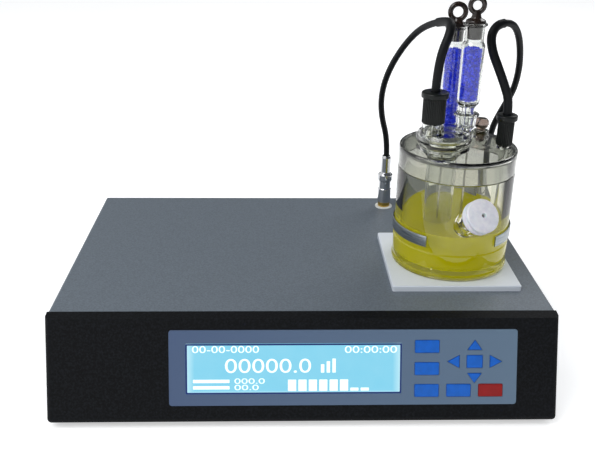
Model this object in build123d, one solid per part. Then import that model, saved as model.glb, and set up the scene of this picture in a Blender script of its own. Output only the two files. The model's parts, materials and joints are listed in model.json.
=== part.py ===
from build123d import *
import os
from math import atan2, cos, hypot, pi, radians, sin, tan

# Bench titrator for traces of water: a low instrument casing with a raked control face, and a
# stirred glass cell held on top of it. Millimetres, +Z up, front towards -Y, and the origin
# under the middle of the instrument on the table.

# Casing
CASE_W = 340.0          # front moulding, side to side
COVER_INSET = 0.5       # the folded steel cover stands this far inside the moulding's sides
COVER_W = CASE_W - 2 * COVER_INSET
COVER_D = 201.0         # folded steel cover, front to back
SHEET = 1.2             # cover and base pan
LIP_D = 8.2             # top lip of the front moulding
LIP_DROP = 1.0          # fall of that lip towards the front
FACE_H = 67.2           # height of the raked face
RAKE_RUN = 23.5         # how far its foot stands ahead of its top
REAR_OUT = 6.0          # reach of the serial jack screws behind the cover
FOOT_H = 4.0
FOOT_R = 8.5
FOOT_INSET = 24.0
PLAY = 0.2              # between parts that are screwed together
FIT = 0.1               # round a shank in its hole, and on ground glass

# Front moulding and what it frames
BEZEL_WALL = 3.0
BEZEL_ROUND = 3.0
TONGUE_D = 9.0          # goes in under the cover
POST_INSET = 20.0       # its two screw posts, from the sides
LENS_W, LENS_H, LENS_T = 143.0, 33.8, 1.2
LENS_EDGE = 11.0        # from the panel's left end
KEY_FIELD_W = 77.2      # the rest of the panel, right of the lens
PANEL_W, PANEL_H, PANEL_T = LENS_EDGE + LENS_W + KEY_FIELD_W, 50.8, 1.6
PANEL_EDGE = 28.0       # from its right end to the moulding's
PANEL_U, PANEL_V = CASE_W / 2 - PANEL_EDGE - PANEL_W / 2, 38.2      # its middle on the raked face
LENS_U, LENS_V = PANEL_U - PANEL_W / 2 + LENS_EDGE + LENS_W / 2, 37.5
LENS_LEDGE = 1.5        # what the lens rests on, all round
DISPLAY_W, DISPLAY_H, DISPLAY_T = LENS_W + 13.0, 44.0, 7.0
BOARD_T = 1.6

# Keys, all in the panel: middle of each, its size, and how far it stands out and travels
KEY_W, KEY_H = 16.2, 8.5
ARROW_L, ARROW_W = 9.6, 6.6
ENTER_W = 10.6
KEY_PITCH = 21.4
KEY_U = LENS_U + LENS_W / 2 + 16.9
ROW_TOP, ROW_MID, ROW_LOW = 52.2, 37.2, 22.4
ARROW_U, ARROW_V = KEY_U + 31.9, 41.9
ARROW_UP, ARROW_SIDE = 11.2, 14.2   # from the middle key to the middle of an arrow
KEY_OUT, KEY_SINK = 0.5, 0.7        # above the panel, and in it
KEY_TRAVEL = 0.5
KEY_GAP = 0.2
STEM_R = 1.6
SWITCH_W, SWITCH_T = 6.0, 4.0

# Base, boards and power
PAN_FLANGE = 14.0
SPACER_H = 7.0
SPACER_R = 3.0
MAIN_W, MAIN_D = 150.0, 105.0
MAIN_X, MAIN_Y = 0.0, 8.0
BOARD_BLOCKS = ((-0.2, 0.19, 22.0, 22.0, 3.0), (0.1, 0.24, 14.0, 40.0, 5.0), (0.3, -0.19, 18.0, 14.0, 12.0),
                (0.3, 0.14, 18.0, 14.0, 12.0), (-0.27, -0.29, 30.0, 10.0, 9.0))
CAN_R, CAN_H = 7.0, 24.0
SCREW_R = 1.5
SCREW_HEAD_R = 2.9
SCREW_HEAD_T = 1.2
SCREW_L = 8.0
CORE_W, CORE_D, CORE_H = 57.0, 26.0, 48.0
COIL_OUT = 9.0
BASE_VENT_AHEAD = 42.0  # slots under the pan, from the transformer's middle
CORE_X, CORE_Y = 51.5 - COVER_W / 2, 52.0

# Rear panel fittings
REAR_T = 1.5
REAR_SET = 0.5          # the rear panel lies this far inside the cover's edge
INLET_X, INLET_W, INLET_H, INLET_FLANGE = 41.5 - COVER_W / 2, 30.0, 34.0, 3.0
INLET_DEEP = 22.0
C14_W, C14_H, C14_DEEP = 24.0, 16.2, 17.0
DRAWER_W, DRAWER_H, DRAWER_OUT = 21.0, 7.5, 1.5
ROCKER_X, ROCKER_W, ROCKER_R = INLET_X + 44.0, 12.6, 9.0
ROCKER_TILT = 8.0
SWITCH_RIM = 1.6
PIVOT_R, PIVOT_FIT = 1.0, 0.05       # pins that the rocker turns on
SERIAL_X, SERIAL_W, SERIAL_H = COVER_W / 2 - 73.5, 17.0, 8.4
JACK_PITCH = 25.0
SLOT_W, SLOT_L, SLOT_STEP = 2.5, 24.0, 6.0

# Glass cell on its plate
PLATE_W, PLATE_T = 91.0, 4.0
PLATE_X, PLATE_BACK = COVER_W / 2 - 61.0, 72.2      # second value: from the cover's front edge
CELL_X, CELL_BACK = PLATE_X + 2.3, 75.0
GLASS = 2.6
CELL_R = 41.4
FOOT_RING_R, FOOT_RING_H = 42.2, 3.0
LEDGE_H, LEDGE_OUT = 19.0, 0.5
FLOOR_T = 6.0
SEAM_H = 72.0           # where the lid sits on the vessel
LID_TOP = 87.8
LIQUID_H = 32.0
JOINT_H = 12.0          # ground joint between vessel and lid

# Side arm with its screw cap
ARM_AZ, ARM_TILT = 20.0, 36.0
ARM_ROOT_AZ, ARM_ROOT_H = 3.6, 45.7
ARM_REACH = 20.0        # root to the face of the cap
ARM_R, ARM_BORE = 7.2, 4.5
CAP_R, CAP_T, CAP_GROOVE_R = 11.8, 8.5, 10.0
CAP_FACE, CAP_HOLE_R = 3.0, 1.5
SEPTUM_T = 2.2

# Necks on the lid, from the axis of the cell
CHAMBER_AT = (-12.0, -5.0)
ELECTRODE_AT = (31.0, -5.0)
REAR_TUBE_AT = (-3.6, 23.0)
VENT_AT = (20.5, 20.5)
CHAMBER_NECK_R, CHAMBER_NECK_H = 17.6, 5.0
BELL_R, BELL_H = 19.4, 8.0
INNER_TUBE_R, INNER_TUBE_FOOT, INNER_WALL = 10.6, 15.0, 1.6
ANODE_OUT = 7.0         # the anode sheet, from that tube
GENERATOR_OFF = (-9.2, -4.0)        # from the axis of the cathode chamber
SOCKET_OFF = (14.2, -1.0)
SOCKET_R, SOCKET_H = 8.7, 12.0
NECK_R, NECK_H, NECK_WALL = 5.6, 5.0, 1.8

# Caps and electrodes
GEN_CAP_R, GEN_CAP_H, GEN_FLANGE_R = 8.0, 22.0, 9.4
DET_CAP_R, DET_CAP_H, DET_FLANGE_R = 5.7, 22.0, 7.3
FLANGE_T = 4.0
GEN_NECK_H = 5.6        # stands on the bell, under the cap
DET_NECK_H = 2.0        # the same on the lid
ROD_R, WIRE_R = 3.0, 0.7

# Drying tubes: body, neck, rim, and ring stopper
TUBE_R, TUBE_WALL = 7.8, 1.3
TUBE_NECK_R, TUBE_NECK_H, TUBE_RIM_R = 6.4, 12.0, 8.0
FRONT_WAIST, FRONT_TUBE_L = 5.0, 44.0        # first value: from its socket to its body
REAR_WAIST, REAR_TUBE_L = 0.8, 61.5
TIP_R, TIP_TAPER = 4.4, 0.07         # ground tip: radius at its foot, and growth with height
FRONT_RING_R, FRONT_RING_WIRE, FRONT_STEM = 4.6, 1.65, 6.6
REAR_RING_R, REAR_RING_WIRE, REAR_STEM = 5.3, 1.8, 4.0

# Sockets, plugs and leads on the cover
SOCKET_X, SOCKET_BACK = CELL_X - 34.8, 182.0
SECOND_X, SECOND_BACK = CELL_X + 40.2, 140.0
BUSH_R, BUSH_LONG = 4.6, 16.0
SHOULDER_T = 4.0        # of the socket, on its washer
WASHER_R, WASHER_T = 7.4, 1.2
PLUG_R, PLUG_H, PLUG_BORE = 5.6, 47.0, 4.0
RING_LONG, WAIST_LONG, COLLAR_LONG = 12.0, 7.6, 5.4
LEAD_R, SLEEVE_R, SLEEVE_IN = 2.4, 3.1, 3.0

# Stirrer
MOTOR_R, MOTOR_H = 13.5, 22.0
STRAP_SIDE, STRAP_END = 13.0, 5.0     # the motor's strap, past the motor
ROTOR_R, ROTOR_T = 19.0, 5.0
MAGNET_R, MAGNET_OFF, MAGNET_T = 4.0, 12.0, 3.5
ROTOR_GAP = 1.5
MOTOR_CLEAR = 3.0       # under the rotor
SHAFT_R = 1.0
STIR_BAR_L, STIR_BAR_R = 22.0, 2.8

# Clamp round the vessel
BAND_W, BAND_T, BAND_Z = 8.0, 1.0, 24.0
BAND_GAP = 0.4
BAND_OPEN = 35.0        # half the opening at the front, degrees
POST_W, POST_T, POST_FOOT = 14.0, 1.5, 13.0

# Heights and edges that follow from these
BASE_Z = FOOT_H
LIP_Z = BASE_Z + FACE_H
TOP_Z = LIP_Z + LIP_DROP
PLATE_Z = TOP_Z + PLATE_T
ROUND_LOSS = BEZEL_ROUND * (1 / tan(atan2(FACE_H, RAKE_RUN) / 2) - 1)
FRONT_Y = -(LIP_D + RAKE_RUN + COVER_D + REAR_OUT + ROUND_LOSS) / 2
LIP_Y = FRONT_Y + RAKE_RUN
COVER_Y0 = LIP_Y + LIP_D
COVER_Y1 = COVER_Y0 + COVER_D
REAR_FACE = COVER_Y1 - REAR_SET
PAN_W = COVER_W - 2 * SHEET - 2 * PLAY
FLOOR_Z = BASE_Z + SHEET
CELL_Y = COVER_Y0 + CELL_BACK
PLATE_Y = COVER_Y0 + PLATE_BACK
FACE_L = hypot(FACE_H, RAKE_RUN)
FACE = Plane(origin=(0, FRONT_Y, BASE_Z), x_dir=(1, 0, 0), z_dir=(0, -FACE_H, RAKE_RUN))
BELL_Z = LID_TOP + CHAMBER_NECK_H + PLAY
BELL_TOP = BELL_Z + BELL_H
INNER_R = CELL_R - GLASS
FRONT_TIP_Z = BELL_TOP + 4
REAR_TIP_Z = LID_TOP - GLASS - 3
FRONT_TUBE_Z = BELL_TOP + SOCKET_H + FRONT_WAIST
REAR_TUBE_Z = LID_TOP + NECK_H + REAR_WAIST
GEN_CAP_Z = BELL_TOP + GEN_NECK_H
DET_CAP_Z = LID_TOP + DET_NECK_H


def box(x0, x1, y0, y1, z0, z1):
    """A block between two corners."""
    return Pos((x0 + x1) / 2, (y0 + y1) / 2, (z0 + z1) / 2) * Box(x1 - x0, y1 - y0, z1 - z0)


def rod(radius, z0, z1, x=0.0, y=0.0):
    """An upright cylinder from z0 to z1."""
    return Pos(x, y, (z0 + z1) / 2) * Cylinder(radius, z1 - z0)


def turned(*outline):
    """A body turned about Z from a closed outline of radius and height."""
    return revolve(make_face(Polyline(*[(r, 0, h) for r, h in outline], close=True)), Axis.Z)


def over_plate(offset, height):
    """A place above the cell's plate, off the axis of the cell."""
    return Pos(CELL_X + offset[0], CELL_Y + offset[1], PLATE_Z + height)


def on_face(u, v, out=0.0):
    """A place on the raked face: u to the right, v up the face, out towards the user."""
    return FACE.location * Pos(u, v, out)


def slab(u, v, width, height, back, front, corner=0.0):
    """A plate parallel to the raked face, between two depths."""
    outline = RectangleRounded(width, height, corner) if corner else Rectangle(width, height)
    return on_face(u, v, back) * extrude(outline, front - back)


def screw(place, length=SCREW_L):
    """A flush-headed screw whose head faces up local Z."""
    return place * turned((0, -length), (SCREW_R, -length), (SCREW_R, -SCREW_HEAD_T),
                          (SCREW_HEAD_R, 0), (0, 0))


def screw_hole(place, length=SCREW_L):
    """The clearance for that screw."""
    shank = SCREW_R + FIT
    head = SCREW_HEAD_R + FIT
    return place * turned((0, -length - 1), (shank, -length - 1), (shank, -SCREW_HEAD_T),
                          (head, 0), (head, 1), (0, 1))


def side_screws():
    """Three flush screws in each side of the cover."""
    z = BASE_Z + PAN_FLANGE / 2 + 1
    places = []
    for side in (-1, 1):
        for along in (0.12, 0.5, 0.88):
            spot = Pos(side * COVER_W / 2, COVER_Y0 + along * COVER_D, z)
            places.append(spot * Rot(0, side * 90, 0))
    return places


def bezel_screws():
    """Two screws that hold the front moulding to the base pan's front flange."""
    y = COVER_Y0 + PLAY + SHEET
    z = BASE_Z + PAN_FLANGE / 2
    return [Pos(side * (CASE_W / 2 - POST_INSET), y, z) * Rot(-90, 0, 0) for side in (-1, 1)]


def plate_screws():
    """Four screws from under the cover into the cell's plate."""
    step = PLATE_W / 2 - 9
    return [Pos(PLATE_X + sx * step, PLATE_Y + sy * step, TOP_Z - SHEET) * Rot(180, 0, 0)
            for sx in (-1, 1) for sy in (-1, 1)]


def post_screws():
    """Two screws through the foot of the clamp's post."""
    y = CELL_Y + CELL_R + BAND_GAP + BAND_T + POST_T + POST_FOOT / 2 + PLAY
    return [Pos(CELL_X + side * POST_W / 4, y, TOP_Z + POST_T) for side in (-1, 1)]


def spacer_places():
    """Board posts on the base pan."""
    return [(MAIN_X + sx * (MAIN_W / 2 - 5), MAIN_Y + sy * (MAIN_D / 2 - 5))
            for sx in (-1, 1) for sy in (-1, 1)]


def foot_places():
    """The middles of the four rubber feet."""
    x = CASE_W / 2 - FOOT_INSET
    return [(sx * x, y) for sx in (-1, 1) for y in (COVER_Y0 + FOOT_INSET, COVER_Y1 - FOOT_INSET)]


def slots(count, width, length, step):
    """A row of round-ended slots along X, each long in Y, as a flat outline."""
    return [Pos((i - (count - 1) / 2) * step, 0) * SlotOverall(length, width, rotation=90)
            for i in range(count)]


def top_cover():
    half = COVER_W / 2
    outer = box(-half, half, COVER_Y0, COVER_Y1, BASE_Z, TOP_Z)
    outer = fillet(outer.edges().filter_by(Axis.Y).group_by(Axis.Z)[-1], SHEET * 1.6)
    inner = box(-half + SHEET, half - SHEET, COVER_Y0 - 1, COVER_Y1 + 1, BASE_Z - 1, TOP_Z - SHEET)
    inner = fillet(inner.edges().filter_by(Axis.Y).group_by(Axis.Z)[-1], SHEET * 0.6)
    cover = outer - inner
    for place in side_screws():
        cover -= screw_hole(place)
    for place in post_screws():
        cover -= screw_hole(place)
    for place in plate_screws():
        cover -= screw_hole(place)
    for x, back in ((SOCKET_X, SOCKET_BACK), (SECOND_X, SECOND_BACK)):
        cover -= rod(BUSH_R + FIT, TOP_Z - 2 * SHEET, TOP_Z + 1, x, COVER_Y0 + back)
    return cover


def base_pan():
    half = PAN_W / 2
    y0 = COVER_Y0 + PLAY
    y1 = REAR_FACE
    flange_z = BASE_Z + PAN_FLANGE
    pan = box(-half, half, y0, y1, BASE_Z, FLOOR_Z)
    for side in (-1, 1):
        x0, x1 = sorted((side * half, side * (half - SHEET)))
        pan += box(x0, x1, y0, y1 - REAR_T, BASE_Z, flange_z)
    pan += box(-half, half, y0, y0 + SHEET, BASE_Z, flange_z)
    for x, y in spacer_places():
        pan += rod(SPACER_R, FLOOR_Z, FLOOR_Z + SPACER_H, x, y)
    for x, y in foot_places():
        pan -= rod(FOOT_R / 3 + FIT, BASE_Z - 1, FLOOR_Z + 1, x, y)
    for slot in slots(7, SLOT_W, SLOT_L, SLOT_STEP):
        pan -= Pos(CORE_X, CORE_Y - BASE_VENT_AHEAD, BASE_Z - 1) * extrude(slot, SHEET + 2)
    for place in side_screws():
        pan -= place * Cylinder(SCREW_R + FIT, 4 * SCREW_L)
    for place in bezel_screws():
        pan -= screw_hole(place)
    return pan


def rubber_feet():
    feet = []
    for x, y in foot_places():
        foot = rod(FOOT_R, 0, BASE_Z, x, y) + rod(FOOT_R / 3, BASE_Z, FLOOR_Z + 1.5, x, y)
        feet.append(chamfer(foot.edges().group_by(Axis.Z)[0], 0.8))
    return feet


def front_bezel():
    half = CASE_W / 2
    wall = BEZEL_WALL
    side = Plane.YZ.offset(-half)
    outline = Polyline((COVER_Y0, BASE_Z), (COVER_Y0, TOP_Z), (LIP_Y, LIP_Z), (FRONT_Y, BASE_Z),
                       close=True)
    body = extrude(side * make_face(outline), CASE_W)
    front = body.edges().filter_by(lambda e: e.center().Y < COVER_Y0 - 0.5)
    ends = front.filter_by(lambda e: abs(abs(e.center().X) - half) < 0.01 and e.center().Y < LIP_Y)
    long = front.filter_by(Axis.X).group_by(Axis.Z)[0]
    body = fillet(ends + long, BEZEL_ROUND)
    slant = wall * FACE_L / FACE_H
    run = RAKE_RUN / FACE_H
    inside = Polyline((COVER_Y0 + 1, BASE_Z + wall), (COVER_Y0 + 1, LIP_Z - wall),
                      (LIP_Y + slant - wall * run, LIP_Z - wall),
                      (FRONT_Y + slant + wall * run, BASE_Z + wall), close=True)
    hollow = extrude(Plane.YZ.offset(wall - half) * make_face(inside), CASE_W - 2 * wall)
    body -= hollow
    tongue_z = TOP_Z - SHEET - PLAY
    tongue = box(-half + 12, half - 12, COVER_Y0 - 4, COVER_Y0 + TONGUE_D, tongue_z - 2, tongue_z)
    body += tongue
    for place in bezel_screws():
        post = box(place.position.X - 4, place.position.X + 4, FRONT_Y + 8, COVER_Y0,
                   BASE_Z + 0.5, BASE_Z + PAN_FLANGE)
        body += post
    for place in bezel_screws():
        body -= place * Cylinder(SCREW_R + FIT, 2 * SCREW_L + 4)
    body -= slab(PANEL_U, PANEL_V, PANEL_W + 2 * PLAY, PANEL_H + 2 * PLAY, -PANEL_T, 5, 2 + PLAY)
    window = (LENS_W - 2 * LENS_LEDGE, LENS_H - 2 * LENS_LEDGE)
    body -= slab(LENS_U, LENS_V, *window, -20, 5)
    for key in KEYS.values():
        body -= on_face(*key["at"], -wall) * Cylinder(STEM_R + 2 * KEY_GAP, 4 * wall)
    return body


def key_outline(kind, grow=0.0):
    """The flat outline of one key, grown for the opening that it lies in."""
    if kind == "enter":
        return RectangleRounded(ENTER_W + 2 * grow, KEY_H + 2 * grow, 0.5)
    if kind == "plain":
        return RectangleRounded(KEY_W + 2 * grow, KEY_H + 2 * grow, 0.8)
    turn = 90 * ("up", "left", "down", "right").index(kind)
    wide = turn % 180 == 0
    base = ARROW_L if wide else KEY_H
    tall = ARROW_W if wide else ARROW_L - 1.6
    arrow = make_face(Polyline((-base / 2, -tall / 2), (base / 2, -tall / 2), (0, tall / 2), close=True))
    if grow:
        arrow = offset(arrow, grow, kind=Kind.INTERSECTION)
    return Rot(0, 0, turn) * arrow


def key_table():
    """Every key by name, with its shape and its place on the raked face."""
    keys = {}
    for name, row in (("set", ROW_TOP), ("back", ROW_MID), ("stir", ROW_LOW)):
        keys[name] = {"kind": "plain", "at": (KEY_U, row)}
    keys["electrolysis"] = {"kind": "plain", "at": (KEY_U + KEY_PITCH, ROW_LOW)}
    keys["start"] = {"kind": "plain", "at": (KEY_U + 2 * KEY_PITCH, ROW_LOW)}
    keys["enter"] = {"kind": "enter", "at": (ARROW_U, ARROW_V)}
    keys["up"] = {"kind": "up", "at": (ARROW_U, ARROW_V + ARROW_UP)}
    keys["down"] = {"kind": "down", "at": (ARROW_U, ARROW_V - ARROW_UP)}
    keys["left"] = {"kind": "left", "at": (ARROW_U - ARROW_SIDE, ARROW_V)}
    keys["right"] = {"kind": "right", "at": (ARROW_U + ARROW_SIDE, ARROW_V)}
    return keys


KEYS = key_table()
DISPLAY_TOP = -BEZEL_WALL - PLAY        # depths behind the raked face
FRONT_BOARD_TOP = DISPLAY_TOP - DISPLAY_T
SWITCH_TOP = FRONT_BOARD_TOP + SWITCH_T


def control_panel():
    panel = slab(PANEL_U, PANEL_V, PANEL_W, PANEL_H, -PANEL_T, 0, 2)
    panel -= slab(LENS_U, LENS_V, LENS_W + 2 * PLAY, LENS_H + 2 * PLAY, -LENS_T, 1, 0.8)
    window = (LENS_W - 2 * LENS_LEDGE, LENS_H - 2 * LENS_LEDGE)
    panel -= slab(LENS_U, LENS_V, *window, -PANEL_T - 1, 1)
    for key in KEYS.values():
        pocket = extrude(key_outline(key["kind"], KEY_GAP), PANEL_T)
        panel -= on_face(*key["at"], -KEY_SINK - KEY_TRAVEL - KEY_GAP) * pocket
        panel -= on_face(*key["at"], -PANEL_T) * Cylinder(STEM_R + 2 * KEY_GAP, 4)
    return panel


def display_lens():
    return slab(LENS_U, LENS_V, LENS_W, LENS_H, -LENS_T, 0, 0.6)


def display_frame():
    frame = slab(LENS_U, LENS_V, DISPLAY_W, DISPLAY_H, FRONT_BOARD_TOP, DISPLAY_TOP)
    return frame - slab(LENS_U, LENS_V, LENS_W - 2, LENS_H - 2, DISPLAY_TOP - 1.5, 0)


def circuit_boards():
    left = LENS_U - DISPLAY_W / 2
    right = PANEL_U + PANEL_W / 2
    front = slab((left + right) / 2, PANEL_V, right - left, PANEL_H - 2,
                 FRONT_BOARD_TOP - BOARD_T, FRONT_BOARD_TOP)
    z = FLOOR_Z + SPACER_H
    main = box(MAIN_X - MAIN_W / 2, MAIN_X + MAIN_W / 2, MAIN_Y - MAIN_D / 2, MAIN_Y + MAIN_D / 2,
               z, z + BOARD_T)
    return [front, main]


def board_parts():
    """Key switches on the front board, and the larger parts of the main board."""
    parts = []
    for key in KEYS.values():
        switch = slab(*key["at"], SWITCH_W, SWITCH_W, FRONT_BOARD_TOP, SWITCH_TOP)
        parts.append(switch - on_face(*key["at"], SWITCH_TOP) * Cylinder(STEM_R + KEY_GAP, 3.2))
    z = FLOOR_Z + SPACER_H + BOARD_T
    for u, v, wide, deep, tall in BOARD_BLOCKS:
        x, y = MAIN_X + u * MAIN_W, MAIN_Y + v * MAIN_D
        parts.append(box(x - wide / 2, x + wide / 2, y - deep / 2, y + deep / 2, z, z + tall))
    for side in (-1, 1):
        x, y = MAIN_X + side * (CAN_R + 2), MAIN_Y - 0.3 * MAIN_D
        parts.append(rod(CAN_R, z, z + CAN_H, x, y))
    return parts


def key(name):
    kind, at = KEYS[name]["kind"], KEYS[name]["at"]
    cap = on_face(*at, -KEY_SINK) * extrude(key_outline(kind), KEY_SINK + KEY_OUT)
    foot = SWITCH_TOP - KEY_TRAVEL
    return cap + on_face(*at, (foot - KEY_SINK) / 2) * Cylinder(STEM_R, -KEY_SINK - foot)


def transformer_core():
    top = FLOOR_Z + CORE_H
    core = box(CORE_X - CORE_W / 2, CORE_X + CORE_W / 2, CORE_Y - CORE_D / 2, CORE_Y + CORE_D / 2,
               FLOOR_Z, top)
    window = CORE_W / 6
    for side in (-1, 1):
        x = CORE_X + side * CORE_W / 4
        core -= box(x - window / 2, x + window / 2, CORE_Y - CORE_D, CORE_Y + CORE_D,
                    FLOOR_Z + window, top - window)
    return core


def transformer_coil():
    window = CORE_W / 6
    half = CORE_W / 4 + window / 2 - PLAY
    limb = CORE_W / 4 - window / 2
    z0, z1 = FLOOR_Z + window + PLAY, FLOOR_Z + CORE_H - window - PLAY
    y = CORE_D / 2 + COIL_OUT
    coil = box(CORE_X - half, CORE_X + half, CORE_Y - y, CORE_Y + y, z0, z1)
    coil = fillet(coil.edges().filter_by(Axis.Z), 3)
    return coil - box(CORE_X - limb - PLAY, CORE_X + limb + PLAY,
                      CORE_Y - CORE_D / 2 - PLAY, CORE_Y + CORE_D / 2 + PLAY, z0 - 1, z1 + 1)


INLET_Z = (BASE_Z + TOP_Z) / 2
SERIAL_Z = INLET_Z
C14_Z = INLET_Z + 6.0
DRAWER_Z = INLET_Z - 9.5


def rear_panel():
    half = PAN_W / 2
    panel = box(-half, half, REAR_FACE - REAR_T, REAR_FACE, FLOOR_Z, TOP_Z - SHEET - PLAY)
    panel -= box(INLET_X - INLET_W / 2 - PLAY, INLET_X + INLET_W / 2 + PLAY, REAR_FACE - 5,
                 REAR_FACE + 1, INLET_Z - INLET_H / 2 - PLAY, INLET_Z + INLET_H / 2 + PLAY)
    panel -= box(ROCKER_X - ROCKER_W / 2 - SWITCH_RIM - PLAY, ROCKER_X + ROCKER_W / 2 + SWITCH_RIM + PLAY,
                 REAR_FACE - 5, REAR_FACE + 1, INLET_Z - ROCKER_R - 2 * SWITCH_RIM - PLAY,
                 INLET_Z + ROCKER_R + 2 * SWITCH_RIM + PLAY)
    panel -= box(SERIAL_X - SERIAL_W / 2 - 1, SERIAL_X + SERIAL_W / 2 + 1, REAR_FACE - 5,
                 REAR_FACE + 1, SERIAL_Z - SERIAL_H / 2 - 1, SERIAL_Z + SERIAL_H / 2 + 1)
    for side in (-1, 1):
        panel -= Pos(SERIAL_X + side * JACK_PITCH / 2, REAR_FACE, SERIAL_Z) * Rot(90, 0, 0) \
            * Cylinder(SCREW_R + FIT, 8)
    vents = Plane.XZ.offset(-REAR_FACE - 1)
    for slot in slots(15, SLOT_W, SLOT_L, SLOT_STEP):
        panel -= extrude(vents * (Pos(10, INLET_Z) * slot), REAR_T + 2)
    return panel


def inlet_flange(grow=0.0):
    """The flange outline of the power inlet, seen from behind."""
    return RectangleRounded(INLET_W + 6 + grow, INLET_H + 6 + grow, 2)


def power_inlet():
    back = Plane.XZ.offset(-REAR_FACE)
    body = box(INLET_X - INLET_W / 2, INLET_X + INLET_W / 2, REAR_FACE - INLET_DEEP, REAR_FACE,
               INLET_Z - INLET_H / 2, INLET_Z + INLET_H / 2)
    body += extrude(back * (Pos(INLET_X, INLET_Z) * inlet_flange()), -INLET_FLANGE)
    out = REAR_FACE + INLET_FLANGE
    half_w, half_h, cut = C14_W / 2, C14_H / 2, 4.5
    mouth = Polyline((-half_w, half_h), (half_w, half_h), (half_w, cut - half_h), (half_w - cut, -half_h),
                     (cut - half_w, -half_h), (-half_w, cut - half_h), close=True)
    recess = extrude(Plane.XZ.offset(-out - 1) * (Pos(INLET_X, C14_Z) * make_face(mouth)), C14_DEEP + 1)
    body -= recess
    body -= box(INLET_X - DRAWER_W / 2 - PLAY, INLET_X + DRAWER_W / 2 + PLAY, out - 20, out + 1,
                DRAWER_Z - DRAWER_H / 2 - PLAY, DRAWER_Z + DRAWER_H / 2 + PLAY)
    floor = out - C14_DEEP
    pins = [box(INLET_X + x - 1, INLET_X + x + 1, floor, out - 3, C14_Z + z - 2, C14_Z + z + 2)
            for x, z in ((-7, -2), (7, -2), (0, 2))]
    return [body] + pins


def fuse_drawer():
    out = REAR_FACE + INLET_FLANGE
    drawer = box(INLET_X - DRAWER_W / 2, INLET_X + DRAWER_W / 2, out - 19, out,
                 DRAWER_Z - DRAWER_H / 2, DRAWER_Z + DRAWER_H / 2)
    drawer -= box(INLET_X - DRAWER_W / 2 + 3, INLET_X + DRAWER_W / 2 - 3, out - 17, out - 4,
                  DRAWER_Z - DRAWER_H / 2 + 1, DRAWER_Z + DRAWER_H)
    lip = box(INLET_X - 5, INLET_X + 5, out, out + DRAWER_OUT, DRAWER_Z + DRAWER_H / 2 - 2,
              DRAWER_Z + DRAWER_H / 2)
    return drawer + lip


def rocker_pins(radius, half):
    """The rocker's two pivot pins, as one rod through its middle."""
    return Pos(ROCKER_X, REAR_FACE, INLET_Z) * Rot(0, 90, 0) * Cylinder(radius, 2 * half)


def switch_housing():
    out = REAR_FACE + SWITCH_RIM
    half_x = ROCKER_W / 2 + PLAY
    half_z = ROCKER_R + PLAY
    rim = SWITCH_RIM
    body = box(ROCKER_X - half_x - rim, ROCKER_X + half_x + rim, REAR_FACE - 16, REAR_FACE,
               INLET_Z - half_z - rim, INLET_Z + half_z + rim)
    body += box(ROCKER_X - half_x - 2 * rim, ROCKER_X + half_x + 2 * rim, REAR_FACE, out,
                INLET_Z - half_z - 3 * rim, INLET_Z + half_z + 3 * rim)
    body -= box(ROCKER_X - half_x, ROCKER_X + half_x, REAR_FACE - 10, out + 1,
                INLET_Z - half_z, INLET_Z + half_z)
    return body - rocker_pins(PIVOT_R + PIVOT_FIT, half_x + 1.2)


def power_rocker():
    """A rocker with a shallow valley, lying on its lower side; it turns about its middle."""
    end = ROCKER_R * 0.97
    depth = ROCKER_R * 0.25
    profile = Polyline((end, depth), (0, 1.0), (-end, depth), (-end * 0.8, -depth), (0, -3 * depth),
                       (end * 0.8, -depth), close=True)
    rocker = extrude(make_face(profile), ROCKER_W / 2, both=True)
    across = Plane(origin=(0, 0, 0), x_dir=(0, 0, 1), z_dir=(-1, 0, 0))
    rocker = Pos(ROCKER_X, REAR_FACE, INLET_Z) * Rot(-ROCKER_TILT, 0, 0) * across.location * rocker
    return rocker + rocker_pins(PIVOT_R, ROCKER_W / 2 + PLAY + 1)


def serial_port():
    back = Plane.XZ.offset(-REAR_FACE)
    out = REAR_OUT + REAR_SET
    half_w, half_h, slant = SERIAL_W / 2, SERIAL_H / 2, 1.2
    shell = make_face(Polyline((half_w, half_h), (-half_w, half_h), (slant - half_w, -half_h),
                               (half_w - slant, -half_h), close=True))
    shell = fillet(shell.vertices(), 1.5)
    where = Pos(SERIAL_X, SERIAL_Z)
    port = extrude(back * (where * RectangleRounded(JACK_PITCH + 6, 12.5, 1)), -0.8)
    port += extrude(back * (where * shell), -(out - 0.5))
    port -= extrude(back * (where * offset(shell, -0.7)), -out)
    port += extrude(back * (where * offset(shell, -0.3)), 8)
    for side in (-1, 1):
        jack = Pos(SERIAL_X + side * JACK_PITCH / 2, REAR_FACE, SERIAL_Z) * Rot(-90, 0, 0)
        port += jack * extrude(RegularPolygon(2.7, 6), out)
        port += jack * Pos(0, 0, -2.5) * Cylinder(SCREW_R, 5)
    for i in range(9):
        row, step = (1.42, i - 2) if i < 5 else (-1.42, i - 6.5)
        pin = Pos(SERIAL_X + 2.77 * step, REAR_FACE + 2, SERIAL_Z + row)
        port += pin * Rot(90, 0, 0) * Cylinder(0.5, 4.4)
    return port


def cell_plate():
    plate = box(PLATE_X - PLATE_W / 2, PLATE_X + PLATE_W / 2, PLATE_Y - PLATE_W / 2,
                PLATE_Y + PLATE_W / 2, TOP_Z, PLATE_Z)
    plate = fillet(plate.edges().filter_by(Axis.Z), 1.5)
    for place in plate_screws():
        plate -= place * Pos(0, 0, -SHEET) * Cylinder(SCREW_R + FIT, 2 * (PLATE_T - 1))
    return plate


def arm_axis():
    """The side arm's own frame: its origin on the vessel's wall, and Z out along the bore."""
    root = radians(ARM_ROOT_AZ)
    az, tilt = radians(ARM_AZ), radians(ARM_TILT)
    origin = (CELL_X + CELL_R * sin(root), CELL_Y - CELL_R * cos(root), PLATE_Z + ARM_ROOT_H)
    out = (cos(tilt) * sin(az), -cos(tilt) * cos(az), sin(tilt))
    return Plane(origin=origin, x_dir=(cos(az), sin(az), 0), z_dir=out)


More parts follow.
